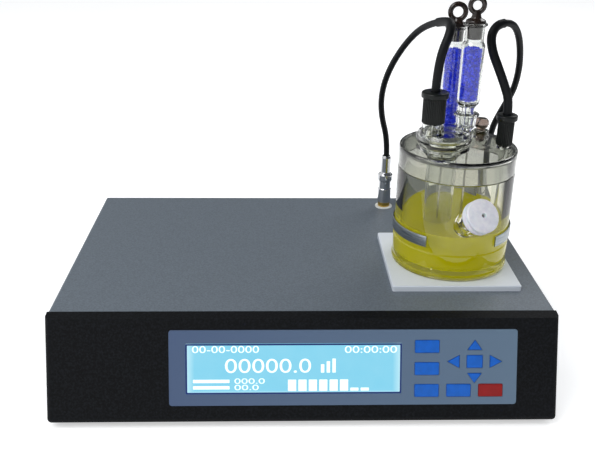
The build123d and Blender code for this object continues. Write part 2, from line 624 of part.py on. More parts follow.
ARM = arm_axis()
ARM_END = ARM_REACH - CAP_FACE - SEPTUM_T           # glass ends here, on the septum


def cell_vessel():
    ledge_r = CELL_R + LEDGE_OUT
    joint_r = INNER_R + GLASS / 2
    cup = turned((0, 0), (FOOT_RING_R, 0), (FOOT_RING_R, FOOT_RING_H), (ledge_r, FOOT_RING_H + 1.5),
                 (ledge_r, LEDGE_H), (CELL_R, LEDGE_H + 1), (CELL_R, SEAM_H), (joint_r, SEAM_H),
                 (joint_r, SEAM_H + JOINT_H), (INNER_R, SEAM_H + JOINT_H), (INNER_R, FLOOR_T),
                 (0, FLOOR_T))
    floor = [e for e in cup.edges().filter_by(GeomType.CIRCLE)
             if abs(e.center().Z - FLOOR_T) < 0.01 and abs(e.radius - INNER_R) < 0.01]
    cup = fillet(floor, 4)
    cup = over_plate((0, 0), 0) * cup
    arm = ARM.location * Pos(0, 0, (ARM_END - 6) / 2) * Cylinder(ARM_R, ARM_END + 6)
    inside = over_plate((0, 0), 0) * rod(INNER_R + GLASS / 2, FLOOR_T + 6, SEAM_H)
    cup += arm - inside
    bore = ARM.location * Pos(0, 0, (ARM_END - 10) / 2) * Cylinder(ARM_BORE, ARM_END + 12)
    return cup - bore


def neck(offset_xy, radius, height):
    """A short neck that stands on the lid."""
    return over_plate(offset_xy, LID_TOP - 1) * turned((0, 0), (radius + 1, 0), (radius, 2),
                                                       (radius, height + 1), (0, height + 1))


def cell_lid():
    joint_r = INNER_R + GLASS / 2 + FIT
    lid = turned((0, LID_TOP), (0, LID_TOP - GLASS), (joint_r, LID_TOP - GLASS), (joint_r, SEAM_H),
                 (CELL_R, SEAM_H), (CELL_R, LID_TOP))
    corner = [e for e in lid.edges().filter_by(GeomType.CIRCLE)
              if abs(e.center().Z - LID_TOP) < 0.01 and e.radius > CELL_R - 1]
    lid = over_plate((0, 0), 0) * fillet(corner, 2.2)
    lid += neck(CHAMBER_AT, CHAMBER_NECK_R, CHAMBER_NECK_H)
    lid += neck(ELECTRODE_AT, DET_CAP_R - 1.2, DET_NECK_H)
    lid += neck(REAR_TUBE_AT, NECK_R + 1.6, NECK_H)
    lid += neck(VENT_AT, NECK_R, NECK_H)
    deep = GLASS + 2
    holes = ((CHAMBER_AT, CHAMBER_NECK_R - GLASS, CHAMBER_NECK_H), (ELECTRODE_AT, ROD_R + FIT, DET_NECK_H),
             (VENT_AT, NECK_R - NECK_WALL, NECK_H))
    for at, radius, height in holes:
        lid -= over_plate(at, LID_TOP - deep) * rod(radius, 0, deep + height + 1)
    return lid - over_plate(REAR_TUBE_AT, 0) * tip_hole(REAR_TIP_Z, LID_TOP + NECK_H + 0.01)


def cathode_chamber():
    """Bell on the lid's large neck, its ground plug in that neck, and the tube into the liquid."""
    plug_r = CHAMBER_NECK_R - GLASS - FIT
    inner = INNER_TUBE_R - INNER_WALL
    foot = INNER_TUBE_FOOT
    bell = turned((0, BELL_Z - 4), (inner, BELL_Z - 4), (inner, foot), (INNER_TUBE_R, foot),
                  (INNER_TUBE_R, LID_TOP - 8), (plug_r - 1, LID_TOP - 5), (plug_r, BELL_Z),
                  (BELL_R, BELL_Z), (BELL_R, BELL_TOP - 4), (BELL_R - 2, BELL_TOP - 1.2),
                  (BELL_R - 6, BELL_TOP), (0, BELL_TOP))
    bell -= turned((0, BELL_Z - 5), (inner, BELL_Z - 5), (BELL_R - 4, BELL_Z + 1),
                   (BELL_R - 2, BELL_Z + 3), (BELL_R - 4, BELL_TOP - 2.4), (0, BELL_TOP - 2))
    bell = over_plate(CHAMBER_AT, 0) * bell
    gen = (CHAMBER_AT[0] + GENERATOR_OFF[0], CHAMBER_AT[1] + GENERATOR_OFF[1])
    sock = (CHAMBER_AT[0] + SOCKET_OFF[0], CHAMBER_AT[1] + SOCKET_OFF[1])
    rise = GEN_CAP_Z - BELL_TOP
    bell += over_plate(gen, BELL_TOP) * rod(GEN_CAP_R - 0.6, -1.5, rise)
    top = BELL_TOP + SOCKET_H
    bell += over_plate(sock, 0) * turned((0, BELL_TOP - 3), (4, BELL_TOP - 3), (5, BELL_TOP + 1),
                                         (6.6, BELL_TOP + 3), (7.2, top - 2.4), (SOCKET_R, top - 1.6),
                                         (SOCKET_R, top - 0.4), (SOCKET_R - 1, top), (0, top))
    bell -= over_plate(gen, 0) * rod(GEN_CAP_R - 2.4, BELL_TOP - 4, GEN_CAP_Z + 1)
    bell -= over_plate(sock, 0) * rod(2.2, BELL_TOP - 5, top)
    bell -= over_plate(sock, 0) * tip_hole(FRONT_TIP_Z - 1, top + 1)
    return bell


def diaphragm():
    radius = INNER_TUBE_R - INNER_WALL - FIT
    return over_plate(CHAMBER_AT, INNER_TUBE_FOOT) * rod(radius, 0, 2.5)


def wire(points, radius, bend):
    """A round wire along straight runs with tangent arcs."""
    path = FilletPolyline(*points, radius=bend)
    start = Plane(origin=path @ 0, z_dir=path % 0)
    return sweep(start * Circle(radius), path)


def spot(offset_xy, height):
    """The coordinates of a point above the plate."""
    return (CELL_X + offset_xy[0], CELL_Y + offset_xy[1], PLATE_Z + height)


def platinum_electrodes():
    """Cathode inside the inner tube, and anode sheet beside it, each on its wire."""
    cx, cy = CHAMBER_AT
    gx, gy = cx + GENERATOR_OFF[0], cy + GENERATOR_OFF[1]
    drop = BELL_Z - 8
    low = INNER_TUBE_FOOT + 9
    lead = wire([spot((gx, gy), GEN_CAP_Z + 2), spot((gx, gy), BELL_Z + 3), spot((cx, cy), drop),
                 spot((cx, cy), low + 4.5)], WIRE_R, 6)
    sheet = over_plate((cx, cy), low) * Box(9, 0.5, 10)
    ax = cx + INNER_TUBE_R + ANODE_OUT
    anode = over_plate((ax, cy), 19) * Box(11, 0.5, 12)
    stem = over_plate((ax, cy), 0) * rod(WIRE_R, 24.9, LID_TOP - GLASS - PLAY)
    return [lead + sheet, anode + stem]


def measuring_electrode():
    """Glass rod with two platinum pins at its foot."""
    top = DET_CAP_Z + DET_CAP_H / 2
    body = turned((0, 18), (ROD_R - 1, 18), (ROD_R, 20), (ROD_R, top), (0, top))
    body = over_plate(ELECTRODE_AT, 0) * body
    for side in (-1, 1):
        body += over_plate((ELECTRODE_AT[0], ELECTRODE_AT[1] + side * 1.2), 0) * rod(0.5, 11, 19)
    return body


def cap(radius, flange_r, height, hollow_r, hollow_h):
    """A black electrode cap: flanged top, ribbed skirt, and a hole for what it covers."""
    body = turned((0, 0), (radius, 0), (radius - 0.3, height - FLANGE_T), (flange_r, height - FLANGE_T),
                  (flange_r, height - 1), (flange_r - 1, height), (0, height))
    body -= rod(hollow_r + FIT, -1, hollow_h)
    return body - rod(SLEEVE_R + FIT, height - SLEEVE_IN, height + 1)


def generator_cap():
    at = (CHAMBER_AT[0] + GENERATOR_OFF[0], CHAMBER_AT[1] + GENERATOR_OFF[1])
    shape = cap(GEN_CAP_R, GEN_FLANGE_R, GEN_CAP_H, WIRE_R, 3)
    return over_plate(at, GEN_CAP_Z) * shape


def detector_cap():
    shape = cap(DET_CAP_R, DET_FLANGE_R, DET_CAP_H, ROD_R, DET_CAP_H / 2 + FIT)
    return over_plate(ELECTRODE_AT, DET_CAP_Z) * shape


def port_cap():
    """Screw cap with two flanges, a groove between them and a needle hole."""
    z0, z1 = ARM_REACH - CAP_T, ARM_REACH
    body = turned((0, z0), (CAP_R, z0), (CAP_R, z0 + 2.4), (CAP_GROOVE_R, z0 + 2.4),
                  (CAP_GROOVE_R, z1 - CAP_FACE), (CAP_R, z1 - CAP_FACE), (CAP_R, z1 - 0.8),
                  (CAP_R - 0.8, z1), (0, z1))
    body -= rod(ARM_R + FIT, z0 - 1, z1 - CAP_FACE)
    return ARM.location * (body - rod(CAP_HOLE_R, z0, z1 + 1))


def port_septum():
    disc = rod(ARM_R - FIT, ARM_END, ARM_END + SEPTUM_T)
    return ARM.location * disc


def vent_stopper():
    """Ground stopper with a rounded knob, in the neck behind the measuring electrode."""
    top = LID_TOP + NECK_H
    inside = NECK_R - NECK_WALL - FIT
    knob = turned((0, top - 10), (inside - 0.4, top - 10), (inside, top + PLAY), (3.0, top + 1.2),
                  (4.6, top + 2.4), (5.4, top + 4.4), (5.2, top + 6.8), (3.8, top + 8.6), (0, top + 9.2))
    return over_plate(VENT_AT, 0) * knob


def anolyte():
    """The liquid in the vessel, clear of everything that stands in it."""
    gap = 0.2
    body = turned((0, FLOOR_T + gap), (INNER_R - 4, FLOOR_T + gap), (INNER_R - 1.2, FLOOR_T + 1.4),
                  (INNER_R - gap, FLOOR_T + 4), (INNER_R - gap, LIQUID_H), (0, LIQUID_H))
    body = over_plate((0, 0), 0) * body
    room = STIR_BAR_L / 2 + 1
    body -= over_plate((0, 0), 0) * rod(room, FLOOR_T, FLOOR_T + 2 * STIR_BAR_R + 1)
    body -= over_plate(CHAMBER_AT, 0) * rod(INNER_TUBE_R + gap, INNER_TUBE_FOOT - gap, LIQUID_H + 1)
    body -= over_plate(ELECTRODE_AT, 0) * rod(ROD_R + gap, 10, LIQUID_H + 1)
    ax = CHAMBER_AT[0] + INNER_TUBE_R + ANODE_OUT
    return body - over_plate((ax, CHAMBER_AT[1]), LIQUID_H / 2 + 6) * Box(12, 2, LIQUID_H - 6)


def tip_radius(height):
    """Radius of a tube's ground tip, by height above its foot."""
    return TIP_R + TIP_TAPER * height


def drying_tube(at, foot_z, length, tip_z):
    """Glass drying tube: hollow ground tip, straight body, narrower neck and a beaded rim."""
    body_top = foot_z + length
    rim = body_top + TUBE_NECK_H
    bore = TUBE_R - TUBE_WALL
    neck_bore = TUBE_NECK_R - TUBE_WALL
    glass = turned((1.4, tip_z), (tip_radius(0), tip_z), (tip_radius(foot_z - tip_z), foot_z - 0.6),
                   (TUBE_R - 2, foot_z), (TUBE_R, foot_z + 2.5), (TUBE_R, body_top - 2.5),
                   (TUBE_NECK_R, body_top), (TUBE_NECK_R, rim - 2), (TUBE_RIM_R, rim - 1.6),
                   (TUBE_RIM_R, rim), (neck_bore + 0.4, rim), (neck_bore, body_top),
                   (bore, body_top - 2.8), (bore, foot_z + 3), (bore - 3, foot_z + 1.4), (1.4, foot_z + 1))
    return over_plate(at, 0) * glass


def tip_hole(tip_z, top):
    """The ground hole that such a tip sits in."""
    return turned((0, tip_z), (tip_radius(0) + FIT, tip_z), (tip_radius(top - tip_z) + FIT, top), (0, top))


def tube_gel(at, foot_z, length):
    """The column of drying beads, as one cylinder."""
    z0, z1 = foot_z + 3, foot_z + length - 4
    return over_plate(at, 0) * rod(TUBE_R - TUBE_WALL - FIT, z0, z1)


def ring_stopper(at, foot_z, length, ring_r, wire, stem):
    """Ground stopper in the tube's neck, with a ring to lift it by."""
    body_top = foot_z + length
    rim = body_top + TUBE_NECK_H
    inside = TUBE_NECK_R - TUBE_WALL - FIT
    plug = turned((0, body_top + 1.5), (inside, body_top + 1.5), (inside + 0.4, rim),
                  (TUBE_RIM_R - 1.2, rim + PLAY), (TUBE_RIM_R - 1.6, rim + 1.8), (3.4, rim + 3.2),
                  (2.6, rim + stem), (0, rim + stem))
    ring = Pos(0, 0, rim + stem + ring_r) * Rot(90, 0, 0) * Torus(ring_r, wire)
    return over_plate(at, 0) * (plug + ring)


FRONT_TUBE_AT = (CHAMBER_AT[0] + SOCKET_OFF[0], CHAMBER_AT[1] + SOCKET_OFF[1])


def socket_places():
    return [Pos(SOCKET_X, COVER_Y0 + SOCKET_BACK, TOP_Z), Pos(SECOND_X, COVER_Y0 + SECOND_BACK, TOP_Z)]


def electrode_sockets():
    """Brass sockets in the cover: threaded bush, shoulder above, nut and tag below."""
    nut_z = -SHEET - PLAY
    body = turned((0, -BUSH_LONG), (1.5, -BUSH_LONG), (1.5, nut_z - 6), (BUSH_R, nut_z - 6),
                  (BUSH_R, nut_z - 2.6), (BUSH_R + 2.4, nut_z - 2.6), (BUSH_R + 2.4, nut_z),
                  (BUSH_R, nut_z), (BUSH_R, WASHER_T),
                  (BUSH_R + 0.6, WASHER_T),
                  (BUSH_R + 0.6, WASHER_T + SHOULDER_T), (0, WASHER_T + SHOULDER_T))
    return [place * body for place in socket_places()]


def socket_washers():
    ring = rod(WASHER_R, 0, WASHER_T) - rod(BUSH_R + FIT, -1, WASHER_T + 1)
    return [place * ring for place in socket_places()]


def lead_plug(place):
    """Plated plug: coupling ring, waist, collar and the sleeve that grips the lead."""
    z = WASHER_T + SHOULDER_T
    top = PLUG_H
    waist = z + RING_LONG
    collar = waist + WAIST_LONG
    neck_z = collar + COLLAR_LONG
    body = turned((0, z), (PLUG_R, z), (PLUG_R, waist), (PLUG_R - 0.5, waist + 0.6),
                  (PLUG_R - 0.5, collar - 0.6), (PLUG_R, collar), (PLUG_R + 0.6, collar + 0.4),
                  (PLUG_R + 0.6, neck_z), (PLUG_R - 0.4, neck_z + 1), (PLUG_R - 1.6, neck_z + 2),
                  (PLUG_R - 1.6, top - 2), (PLUG_R - 2.2, top), (0, top))
    return place * (body - rod(LEAD_R + FIT, top - PLUG_BORE, top + 1))


def bend_radii(points):
    """The largest arcs that a route's runs allow, one for each inner point."""
    vectors = [Vector(*p) for p in points]
    radii = []
    for before, here, after in zip(vectors, vectors[1:], vectors[2:]):
        turn = radians((here - before).get_angle(after - here))
        shorter = min((here - before).length, (after - here).length)
        radii.append(0.45 * shorter / tan(turn / 2))
    return radii


def swept(points, radii, thick):
    """A round lead along its route of straight runs and arcs."""
    path = FilletPolyline(*points, radius=radii)
    tube = sweep(Plane(origin=path @ 0, z_dir=path % 0) * Circle(thick), path)
    share = tube.volume / (pi * thick ** 2 * path.length)
    print("  length %.0f, radii %s, volume ratio %.3f" % (path.length, [round(r) for r in radii], share))
    return tube


GENERATOR_AT = (CHAMBER_AT[0] + GENERATOR_OFF[0], CHAMBER_AT[1] + GENERATOR_OFF[1])

# Routes of the leads, chosen by hand, from above the plug to above the cap
GENERATOR_LEAD = [(68, 84, 158), (66, 74, 180), (70, 61, 203), (79, 44, 226), (88, 25, 241)]
GENERATOR_SLEEVE = [(99, -8, 250), (97, -19, 244), (91.5, -22, 231)]
DETECTOR_LEAD = [(150, 47, 157), (155, 41, 175), (159.5, 33, 191), (159.5, 25, 209), (156, 17, 226),
                 (150, 8, 240), (142, -0.5, 247.5)]
DETECTOR_SLEEVE = [(131, -6, 247), (126, -11, 240), (127.5, -15, 230), (132, -17.5, 220),
                   (137.5, -18.2, 208)]
STRAIGHT_OUT = 18.0     # a lead leaves its plug straight
STRAIGHT_IN = 12.0      # and a sleeve enters its cap straight


def lead_pair(place, lead_points, sleeve_points, at, cap_z, cap_h):
    """A lead from its plug and the thicker sleeve that goes on to its cap, end to end."""
    foot = (place.position.X, place.position.Y, TOP_Z + PLUG_H - PLUG_BORE)
    head = spot(at, cap_z + cap_h - SLEEVE_IN)
    start = [foot, (foot[0], foot[1], foot[2] + STRAIGHT_OUT)]
    end = [(head[0], head[1], head[2] + STRAIGHT_IN), head]
    joint = tuple((Vector(*lead_points[-1]) + Vector(*sleeve_points[0])) * 0.5)
    radii = bend_radii(start + lead_points + sleeve_points + end)
    count = len(start + lead_points) - 1
    lead = swept(start + lead_points + [joint], radii[:count], LEAD_R)
    sleeve = swept([joint] + sleeve_points + end, radii[count:], SLEEVE_R)
    return lead, sleeve


def leads():
    """Both electrode leads and their sleeves."""
    first, second = socket_places()
    gen = lead_pair(first, GENERATOR_LEAD, GENERATOR_SLEEVE, GENERATOR_AT, GEN_CAP_Z, GEN_CAP_H)
    det = lead_pair(second, DETECTOR_LEAD, DETECTOR_SLEEVE, ELECTRODE_AT, DET_CAP_Z, DET_CAP_H)
    return gen[0], det[0], [gen[1], det[1]]


def cell_clamp():
    """Open spring band round the vessel, with the gap to the front."""
    inner = CELL_R + BAND_GAP
    ring = rod(inner + BAND_T, 0, BAND_W) - rod(inner, -1, BAND_W + 1)
    reach = 2 * inner
    side, ahead = reach * sin(radians(BAND_OPEN)), reach * cos(radians(BAND_OPEN))
    wedge = make_face(Polyline((0, 0), (-side, -ahead), (side, -ahead), close=True))
    band = ring - Pos(0, 0, -1) * extrude(wedge, BAND_W + 2)
    return over_plate((0, 0), BAND_Z) * band


def clamp_bracket():
    """Post behind the vessel that carries the band, with its foot screwed to the cover."""
    y0 = CELL_Y + CELL_R + BAND_GAP + BAND_T + PLAY
    half = POST_W / 2
    post = box(CELL_X - half, CELL_X + half, y0, y0 + POST_T, TOP_Z, PLATE_Z + BAND_Z + BAND_W)
    post += box(CELL_X - half, CELL_X + half, y0, y0 + POST_T + POST_FOOT, TOP_Z, TOP_Z + POST_T)
    for place in post_screws():
        post -= screw_hole(place)
    return post


def stirrer_axis():
    return Pos(CELL_X, CELL_Y, TOP_Z - SHEET)


def stirrer_rotor():
    """Disc under the cover, on the motor's shaft, with two magnets let into it."""
    foot = -ROTOR_GAP - ROTOR_T
    disc = rod(ROTOR_R, foot, -ROTOR_GAP) - rod(SHAFT_R + FIT, foot - 1, 0)
    magnets = []
    for side in (-1, 1):
        x = side * MAGNET_OFF
        disc -= rod(MAGNET_R + FIT, -ROTOR_GAP - MAGNET_T, 0, x)
        magnets.append(rod(MAGNET_R, -ROTOR_GAP - MAGNET_T, -ROTOR_GAP, x))
    return [stirrer_axis() * part for part in [disc] + magnets]


def stirrer_motor():
    foot = -ROTOR_GAP - ROTOR_T
    top = foot - MOTOR_CLEAR
    motor = rod(MOTOR_R, top - MOTOR_H, top) + rod(SHAFT_R, top, foot + ROTOR_T - 1)
    return stirrer_axis() * motor


def stirrer_bracket():
    """Strap that carries the motor from the base pan."""
    motor_foot = TOP_Z - SHEET - ROTOR_GAP - ROTOR_T - MOTOR_CLEAR - MOTOR_H
    half_x, half_y = MOTOR_R + STRAP_SIDE, MOTOR_R + STRAP_END
    deck = box(CELL_X - half_x, CELL_X + half_x, CELL_Y - half_y, CELL_Y + half_y,
               motor_foot - SHEET, motor_foot)
    for side in (-1, 1):
        x0, x1 = sorted((CELL_X + side * half_x, CELL_X + side * (half_x - SHEET)))
        deck += box(x0, x1, CELL_Y - half_y, CELL_Y + half_y, FLOOR_Z, motor_foot)
    return deck


def stir_bar():
    bar = Rot(0, 90, 0) * Cylinder(STIR_BAR_R, STIR_BAR_L)
    bar = fillet(bar.edges().filter_by(GeomType.CIRCLE), STIR_BAR_R * 0.9)
    return over_plate((0, 0), FLOOR_T + STIR_BAR_R + 0.3) * bar


def case_screws():
    return [screw(p) for p in side_screws()] + [screw(p) for p in bezel_screws()] \
        + [screw(p, SHEET + PLATE_T - 1.5) for p in plate_screws()] + [screw(p) for p in post_screws()]


def save(name, shape):
    """Write one node, as a group where it holds several solids."""
    solids = shape if isinstance(shape, list) else [shape]
    export_step(Compound(solids) if len(solids) > 1 else solids[0], "parts/%s.step" % name)


def main():
    os.makedirs("parts", exist_ok=True)
    nodes = {
        "base_pan": base_pan(), "top_cover": top_cover(), "rear_panel": rear_panel(),
        "front_bezel": front_bezel(), "rubber_feet": rubber_feet(), "case_screws": case_screws(),
        "control_panel": control_panel(), "display_lens": display_lens(),
        "display_frame": display_frame(), "circuit_boards": circuit_boards(),
        "board_parts": board_parts(), "transformer_core": transformer_core(),
        "transformer_coil": transformer_coil(), "power_inlet": power_inlet(),
        "fuse_drawer": fuse_drawer(), "switch_housing": switch_housing(),
        "power_rocker": power_rocker(), "serial_port": serial_port(),
        "stirrer_bracket": stirrer_bracket(), "stirrer_motor": stirrer_motor(),
        "stirrer_rotor": stirrer_rotor(), "cell_plate": cell_plate(), "cell_clamp": cell_clamp(),
        "clamp_bracket": clamp_bracket(), "cell_vessel": cell_vessel(), "cell_lid": cell_lid(),
        "anolyte": anolyte(), "stir_bar": stir_bar(), "cathode_chamber": cathode_chamber(),
        "diaphragm": diaphragm(), "platinum_electrodes": platinum_electrodes(),
        "generator_cap": generator_cap(), "measuring_electrode": measuring_electrode(),
        "detector_cap": detector_cap(), "port_cap": port_cap(), "port_septum": port_septum(),
        "vent_stopper": vent_stopper(), "electrode_sockets": electrode_sockets(),
        "socket_washers": socket_washers(),
    }
    for name in KEYS:
        nodes["key_" + name] = key(name)
    front = (FRONT_TUBE_AT, FRONT_TUBE_Z, FRONT_TUBE_L)
    rear = (REAR_TUBE_AT, REAR_TUBE_Z, REAR_TUBE_L)
    for name, tube, tip_z, ring in (
            ("front", front, FRONT_TIP_Z, (FRONT_RING_R, FRONT_RING_WIRE, FRONT_STEM)),
            ("rear", rear, REAR_TIP_Z, (REAR_RING_R, REAR_RING_WIRE, REAR_STEM))):
        nodes[name + "_tube"] = drying_tube(*tube, tip_z)
        nodes[name + "_gel"] = tube_gel(*tube)
        nodes[name + "_stopper"] = ring_stopper(*tube, *ring)
    for name, place in zip(("generator", "detector"), socket_places()):
        nodes[name + "_plug"] = lead_plug(place)
    nodes["generator_lead"], nodes["detector_lead"], nodes["lead_sleeves"] = leads()
    for name, shape in nodes.items():
        save(name, shape)
    print(len(nodes), "nodes")


main()
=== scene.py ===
import json
import math

import bmesh
import bpy
from bpy.props import FloatProperty, FloatVectorProperty, IntProperty, PointerProperty
from mathutils import Matrix, Vector


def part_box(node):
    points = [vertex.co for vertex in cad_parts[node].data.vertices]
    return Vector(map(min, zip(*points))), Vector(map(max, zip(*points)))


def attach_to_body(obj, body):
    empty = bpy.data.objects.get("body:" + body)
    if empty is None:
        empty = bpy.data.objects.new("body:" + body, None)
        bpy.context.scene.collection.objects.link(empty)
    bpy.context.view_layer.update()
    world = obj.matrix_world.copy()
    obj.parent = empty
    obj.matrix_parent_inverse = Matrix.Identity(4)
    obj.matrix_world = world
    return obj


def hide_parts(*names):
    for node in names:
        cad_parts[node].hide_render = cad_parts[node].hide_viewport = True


bl_info = {"name": "Trace moisture titrator", "version": (1, 0, 0), "blender": (4, 5, 0),
    "location": "3D View > Sidebar > Titrator",
    "description": "Builds the visible pieces of a bench titrator with a stirred glass cell",
    "category": "Object",}

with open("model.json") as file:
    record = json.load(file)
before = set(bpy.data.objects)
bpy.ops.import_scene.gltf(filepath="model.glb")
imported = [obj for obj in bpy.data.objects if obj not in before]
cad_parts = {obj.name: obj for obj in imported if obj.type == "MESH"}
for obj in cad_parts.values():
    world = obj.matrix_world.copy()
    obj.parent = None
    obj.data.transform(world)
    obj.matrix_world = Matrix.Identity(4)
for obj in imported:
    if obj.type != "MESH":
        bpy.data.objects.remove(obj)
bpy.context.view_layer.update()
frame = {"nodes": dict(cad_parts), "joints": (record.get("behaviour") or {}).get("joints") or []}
MM = 0.001
ROOT = "instrument"
WHITE = (1.0, 1.0, 1.0, 1.0)


# Places, all read from the CAD model

def middle(node):
    """The middle of a CAD node."""
    low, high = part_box(node)
    return (low + high) / 2


def joint(name):
    """One of the record's joints."""
    return next(j for j in frame["joints"] if j["name"] == name)


PLATE_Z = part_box("cell_plate")[1].z
COVER_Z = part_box("top_cover")[1].z


def over_plate(node, height=0.0):
    """The place on the plate under a node's axis, so many millimetres up."""
    centre = middle(node)
    return Matrix.Translation((centre.x, centre.y, PLATE_Z + height * MM))


CELL = over_plate("cell_lid")
CHAMBER = over_plate("diaphragm")
FRONT_TUBE = over_plate("front_gel")
REAR_TUBE = over_plate("rear_gel")
VENT = over_plate("vent_stopper")
ELECTRODE = over_plate("detector_cap")
GENERATOR = over_plate("generator_cap")
INWARD = Vector(joint("key_set_press")["axis"])
UP_FACE = Vector((0, -INWARD.z, INWARD.y))
ARM_JOINT = joint("port_cap_unscrew")


def face_place():
    """The raked face: X to the right, Y up the face, Z out of it, from the middle of its foot."""
    turn = Matrix((Vector((1, 0, 0)), UP_FACE, -INWARD)).transposed()
    origin = middle("control_panel") - Vector((26.4, 0, 0)) * MM - UP_FACE * 38.2 * MM - INWARD * 0.8 * MM
    return Matrix.Translation(origin) @ turn.to_4x4()


def arm_place():
    """The side arm: Z out along its bore, from the face of its cap."""
    out = Vector(ARM_JOINT["axis"])
    side = Vector((0, 0, 1)).cross(out).normalized()
    turn = Matrix((side, out.cross(side), out)).transposed()
    return Matrix.Translation(ARM_JOINT["pos_m"]) @ turn.to_4x4()


FACE = face_place()
ARM = arm_place()

# The fitted camera: degrees down, to the right and rolled, and metres from the cover's front and top
CAMERA_ANGLES = (24.127, 1.798, 0.751)
CAMERA_X, CAMERA_FORWARD, CAMERA_UP = -0.01944, 0.46123, 0.26769

# Cell sizes in millimetres, above the plate or from its axis, as the CAD model has them
CELL_R, GLASS = 41.4, 2.6
INNER_R = CELL_R - GLASS
FLOOR, LEDGE, LIQUID, SEAM, LID_TOP = 6.0, 19.0, 32.0, 72.0, 87.8
JOINT_R, JOINT_TOP = INNER_R + GLASS / 2, 84.0
NECK_TOP = 92.8
BELL_FOOT, BELL_TOP = 93.0, 101.0
ARM_REACH = 20.0


def linear(code):
    """An sRGB hex colour as linear RGBA."""
    parts = [int(code[i:i + 2], 16) / 255 for i in (1, 3, 5)]
    return [c / 12.92 if c <= 0.04045 else ((c + 0.055) / 1.055) ** 2.4 for c in parts] + [1.0]


def colour(name, code, words):
    """A colour property."""
    return FloatVectorProperty(name=name, description=words, default=linear(code), size=4, subtype="COLOR",
        min=0.0, max=1.0)


def length(name, default, words):
    """A length property, in metres."""
    return FloatProperty(name=name, description=words, default=default, unit="LENGTH", min=0.0)


class TitratorFinish(bpy.types.PropertyGroup):
    """Colours that a user would change."""
    cover_grey: colour("Cover grey", "#69727B", "Paint of the folded cover")
    moulding_black: colour("Moulding black", "#0D0F12", "Plastic of the front moulding")
    panel_blue: colour("Panel blue", "#55698C", "Film of the control panel")
    display_cyan: colour("Display cyan", "#86D6F0", "Lit ground of the display")
    key_blue: colour("Key blue", "#0A68D2", "Keys, apart from the start key")
    key_red: colour("Key red", "#9C0C0C", "Start key")
    reagent_yellow: colour("Reagent yellow", "#E9E60C", "Tint of the reagent")
    gel_blue: colour("Bead blue", "#2238F2", "Dry beads in the drying tubes")


class TitratorGlass(bpy.types.PropertyGroup):
    """Sizes and tints of the glass cell."""
    cell_tint: colour("Cell tint", "#E6E7E1", "Tint of vessel and lid")
    clear_tint: colour("Clear tint", "#F1F3F0", "Tint of the bell and tubes")
    bead_radius: length("Bead radius", 0.0010, "Radius of a drying bead")
    bead_spacing: length("Bead spacing", 0.0015, "Least distance between bead centres")
    seed: IntProperty(name="Seed", description="Seed of everything random", default=7, min=0)


class TitratorStage(bpy.types.PropertyGroup):
    """Camera and light."""
    lens: FloatProperty(name="Lens", description="Focal length on a 36 mm sensor", default=48.13,
        unit="CAMERA", min=10.0)
    key_power: FloatProperty(name="Key power", description="Power of the large soft lamp, in watts",
        default=17.0, min=0.0)
    fill: FloatProperty(name="Fill", description="Strength of the studio around", default=0.42, min=0.0)


def finish():
    return bpy.context.scene.titrator_finish


def glass():
    return bpy.context.scene.titrator_glass


# Materials

def add(tree, kind, values=(), links=(), **settings):
    """Add one node, with its settings, input values and incoming links. A kind without "Node" in it is
    one of the tree's own."""
    made = tree.nodes.new(kind if "Node" in kind else tree.bl_idname.replace("Tree", "") + kind)
    for name, value in settings.items():
        setattr(made, name, value)
    for key, value in dict(values).items():
        made.inputs[key].default_value = value
    for key, socket in dict(links).items():
        tree.links.new(socket, made.inputs[key])
    return made


def material(name, **values):
    """A new material with a Principled shader, whose sockets are set by their names."""
    made = bpy.data.materials.new(name)
    made.use_nodes = True
    tree = made.node_tree
    tree.nodes.clear()
    shader = add(tree, "BsdfPrincipled")
    for key, value in values.items():
        shader.inputs[key.replace("_", " ")].default_value = value
    add(tree, "OutputMaterial", links={"Surface": shader.outputs[0]})
    return made, tree, shader


def spot(tree):
    """Where a point lies on its object, in metres."""
    return add(tree, "TexCoord").outputs["Object"]


def axis(tree, letter):
    """One coordinate of a point on its object, in metres."""
    return add(tree, "SeparateXYZ", links={"Vector": spot(tree)}).outputs[letter]


def noise(tree, place, scale, detail=2.0):
    """Even noise at a scale per metre."""
    return add(tree, "TexNoise", {"Scale": scale, "Detail": detail}, {"Vector": place}).outputs["Fac"]


def between(tree, value, low, high):
    """How far a value has come from one limit to another, from 0 to 1."""
    return add(tree, "MapRange", {"From Min": low, "From Max": high}, {"Value": value}).outputs[0]


def blend(tree, share, low, high):
    """A colour that goes from one tone to another."""
    return add(tree, "Mix", {6: low, 7: high}, {0: share}, data_type="RGBA").outputs[2]


def paint(tree, shader, share, low, high, socket="Base Color"):
    """Colour a surface between two tones."""
    tree.links.new(blend(tree, share, low, high), shader.inputs[socket])


def reckon(tree, operation, *terms):
    """A sum of sockets and numbers."""
    made = add(tree, "Math", operation=operation)
    for slot, term in zip(made.inputs, terms):
        if isinstance(term, float):
            slot.default_value = term
        else:
            tree.links.new(term, slot)
    return made.outputs[0]


def relief(tree, shader, height, strength, depth):
    """Bump a surface by a height."""
    bump = add(tree, "Bump", {"Strength": strength, "Distance": depth}, {"Height": height})
    tree.links.new(bump.outputs[0], shader.inputs["Normal"])


def mottled(name, dark, light, grain, bump=0.0, depth=0.0001, detail=3.0, stretch=(1, 1, 1), **values):
    """A surface whose colour wanders between two tones over a grain in metres, with a matching bump."""
    made, tree, shader = material(name, **values)
    place = add(tree, "Mapping", {"Scale": stretch}, {"Vector": spot(tree)}).outputs[0]
    wander = noise(tree, place, 1 / grain, detail)
    paint(tree, shader, between(tree, wander, 0.35, 0.65), dark, light)
    if bump:
        relief(tree, shader, wander, bump, depth)
    return made, tree, shader


def shade(tone, factor):
    """A colour made lighter or darker."""
    return [min(1.0, c * factor) for c in tone[:3]] + [1.0]


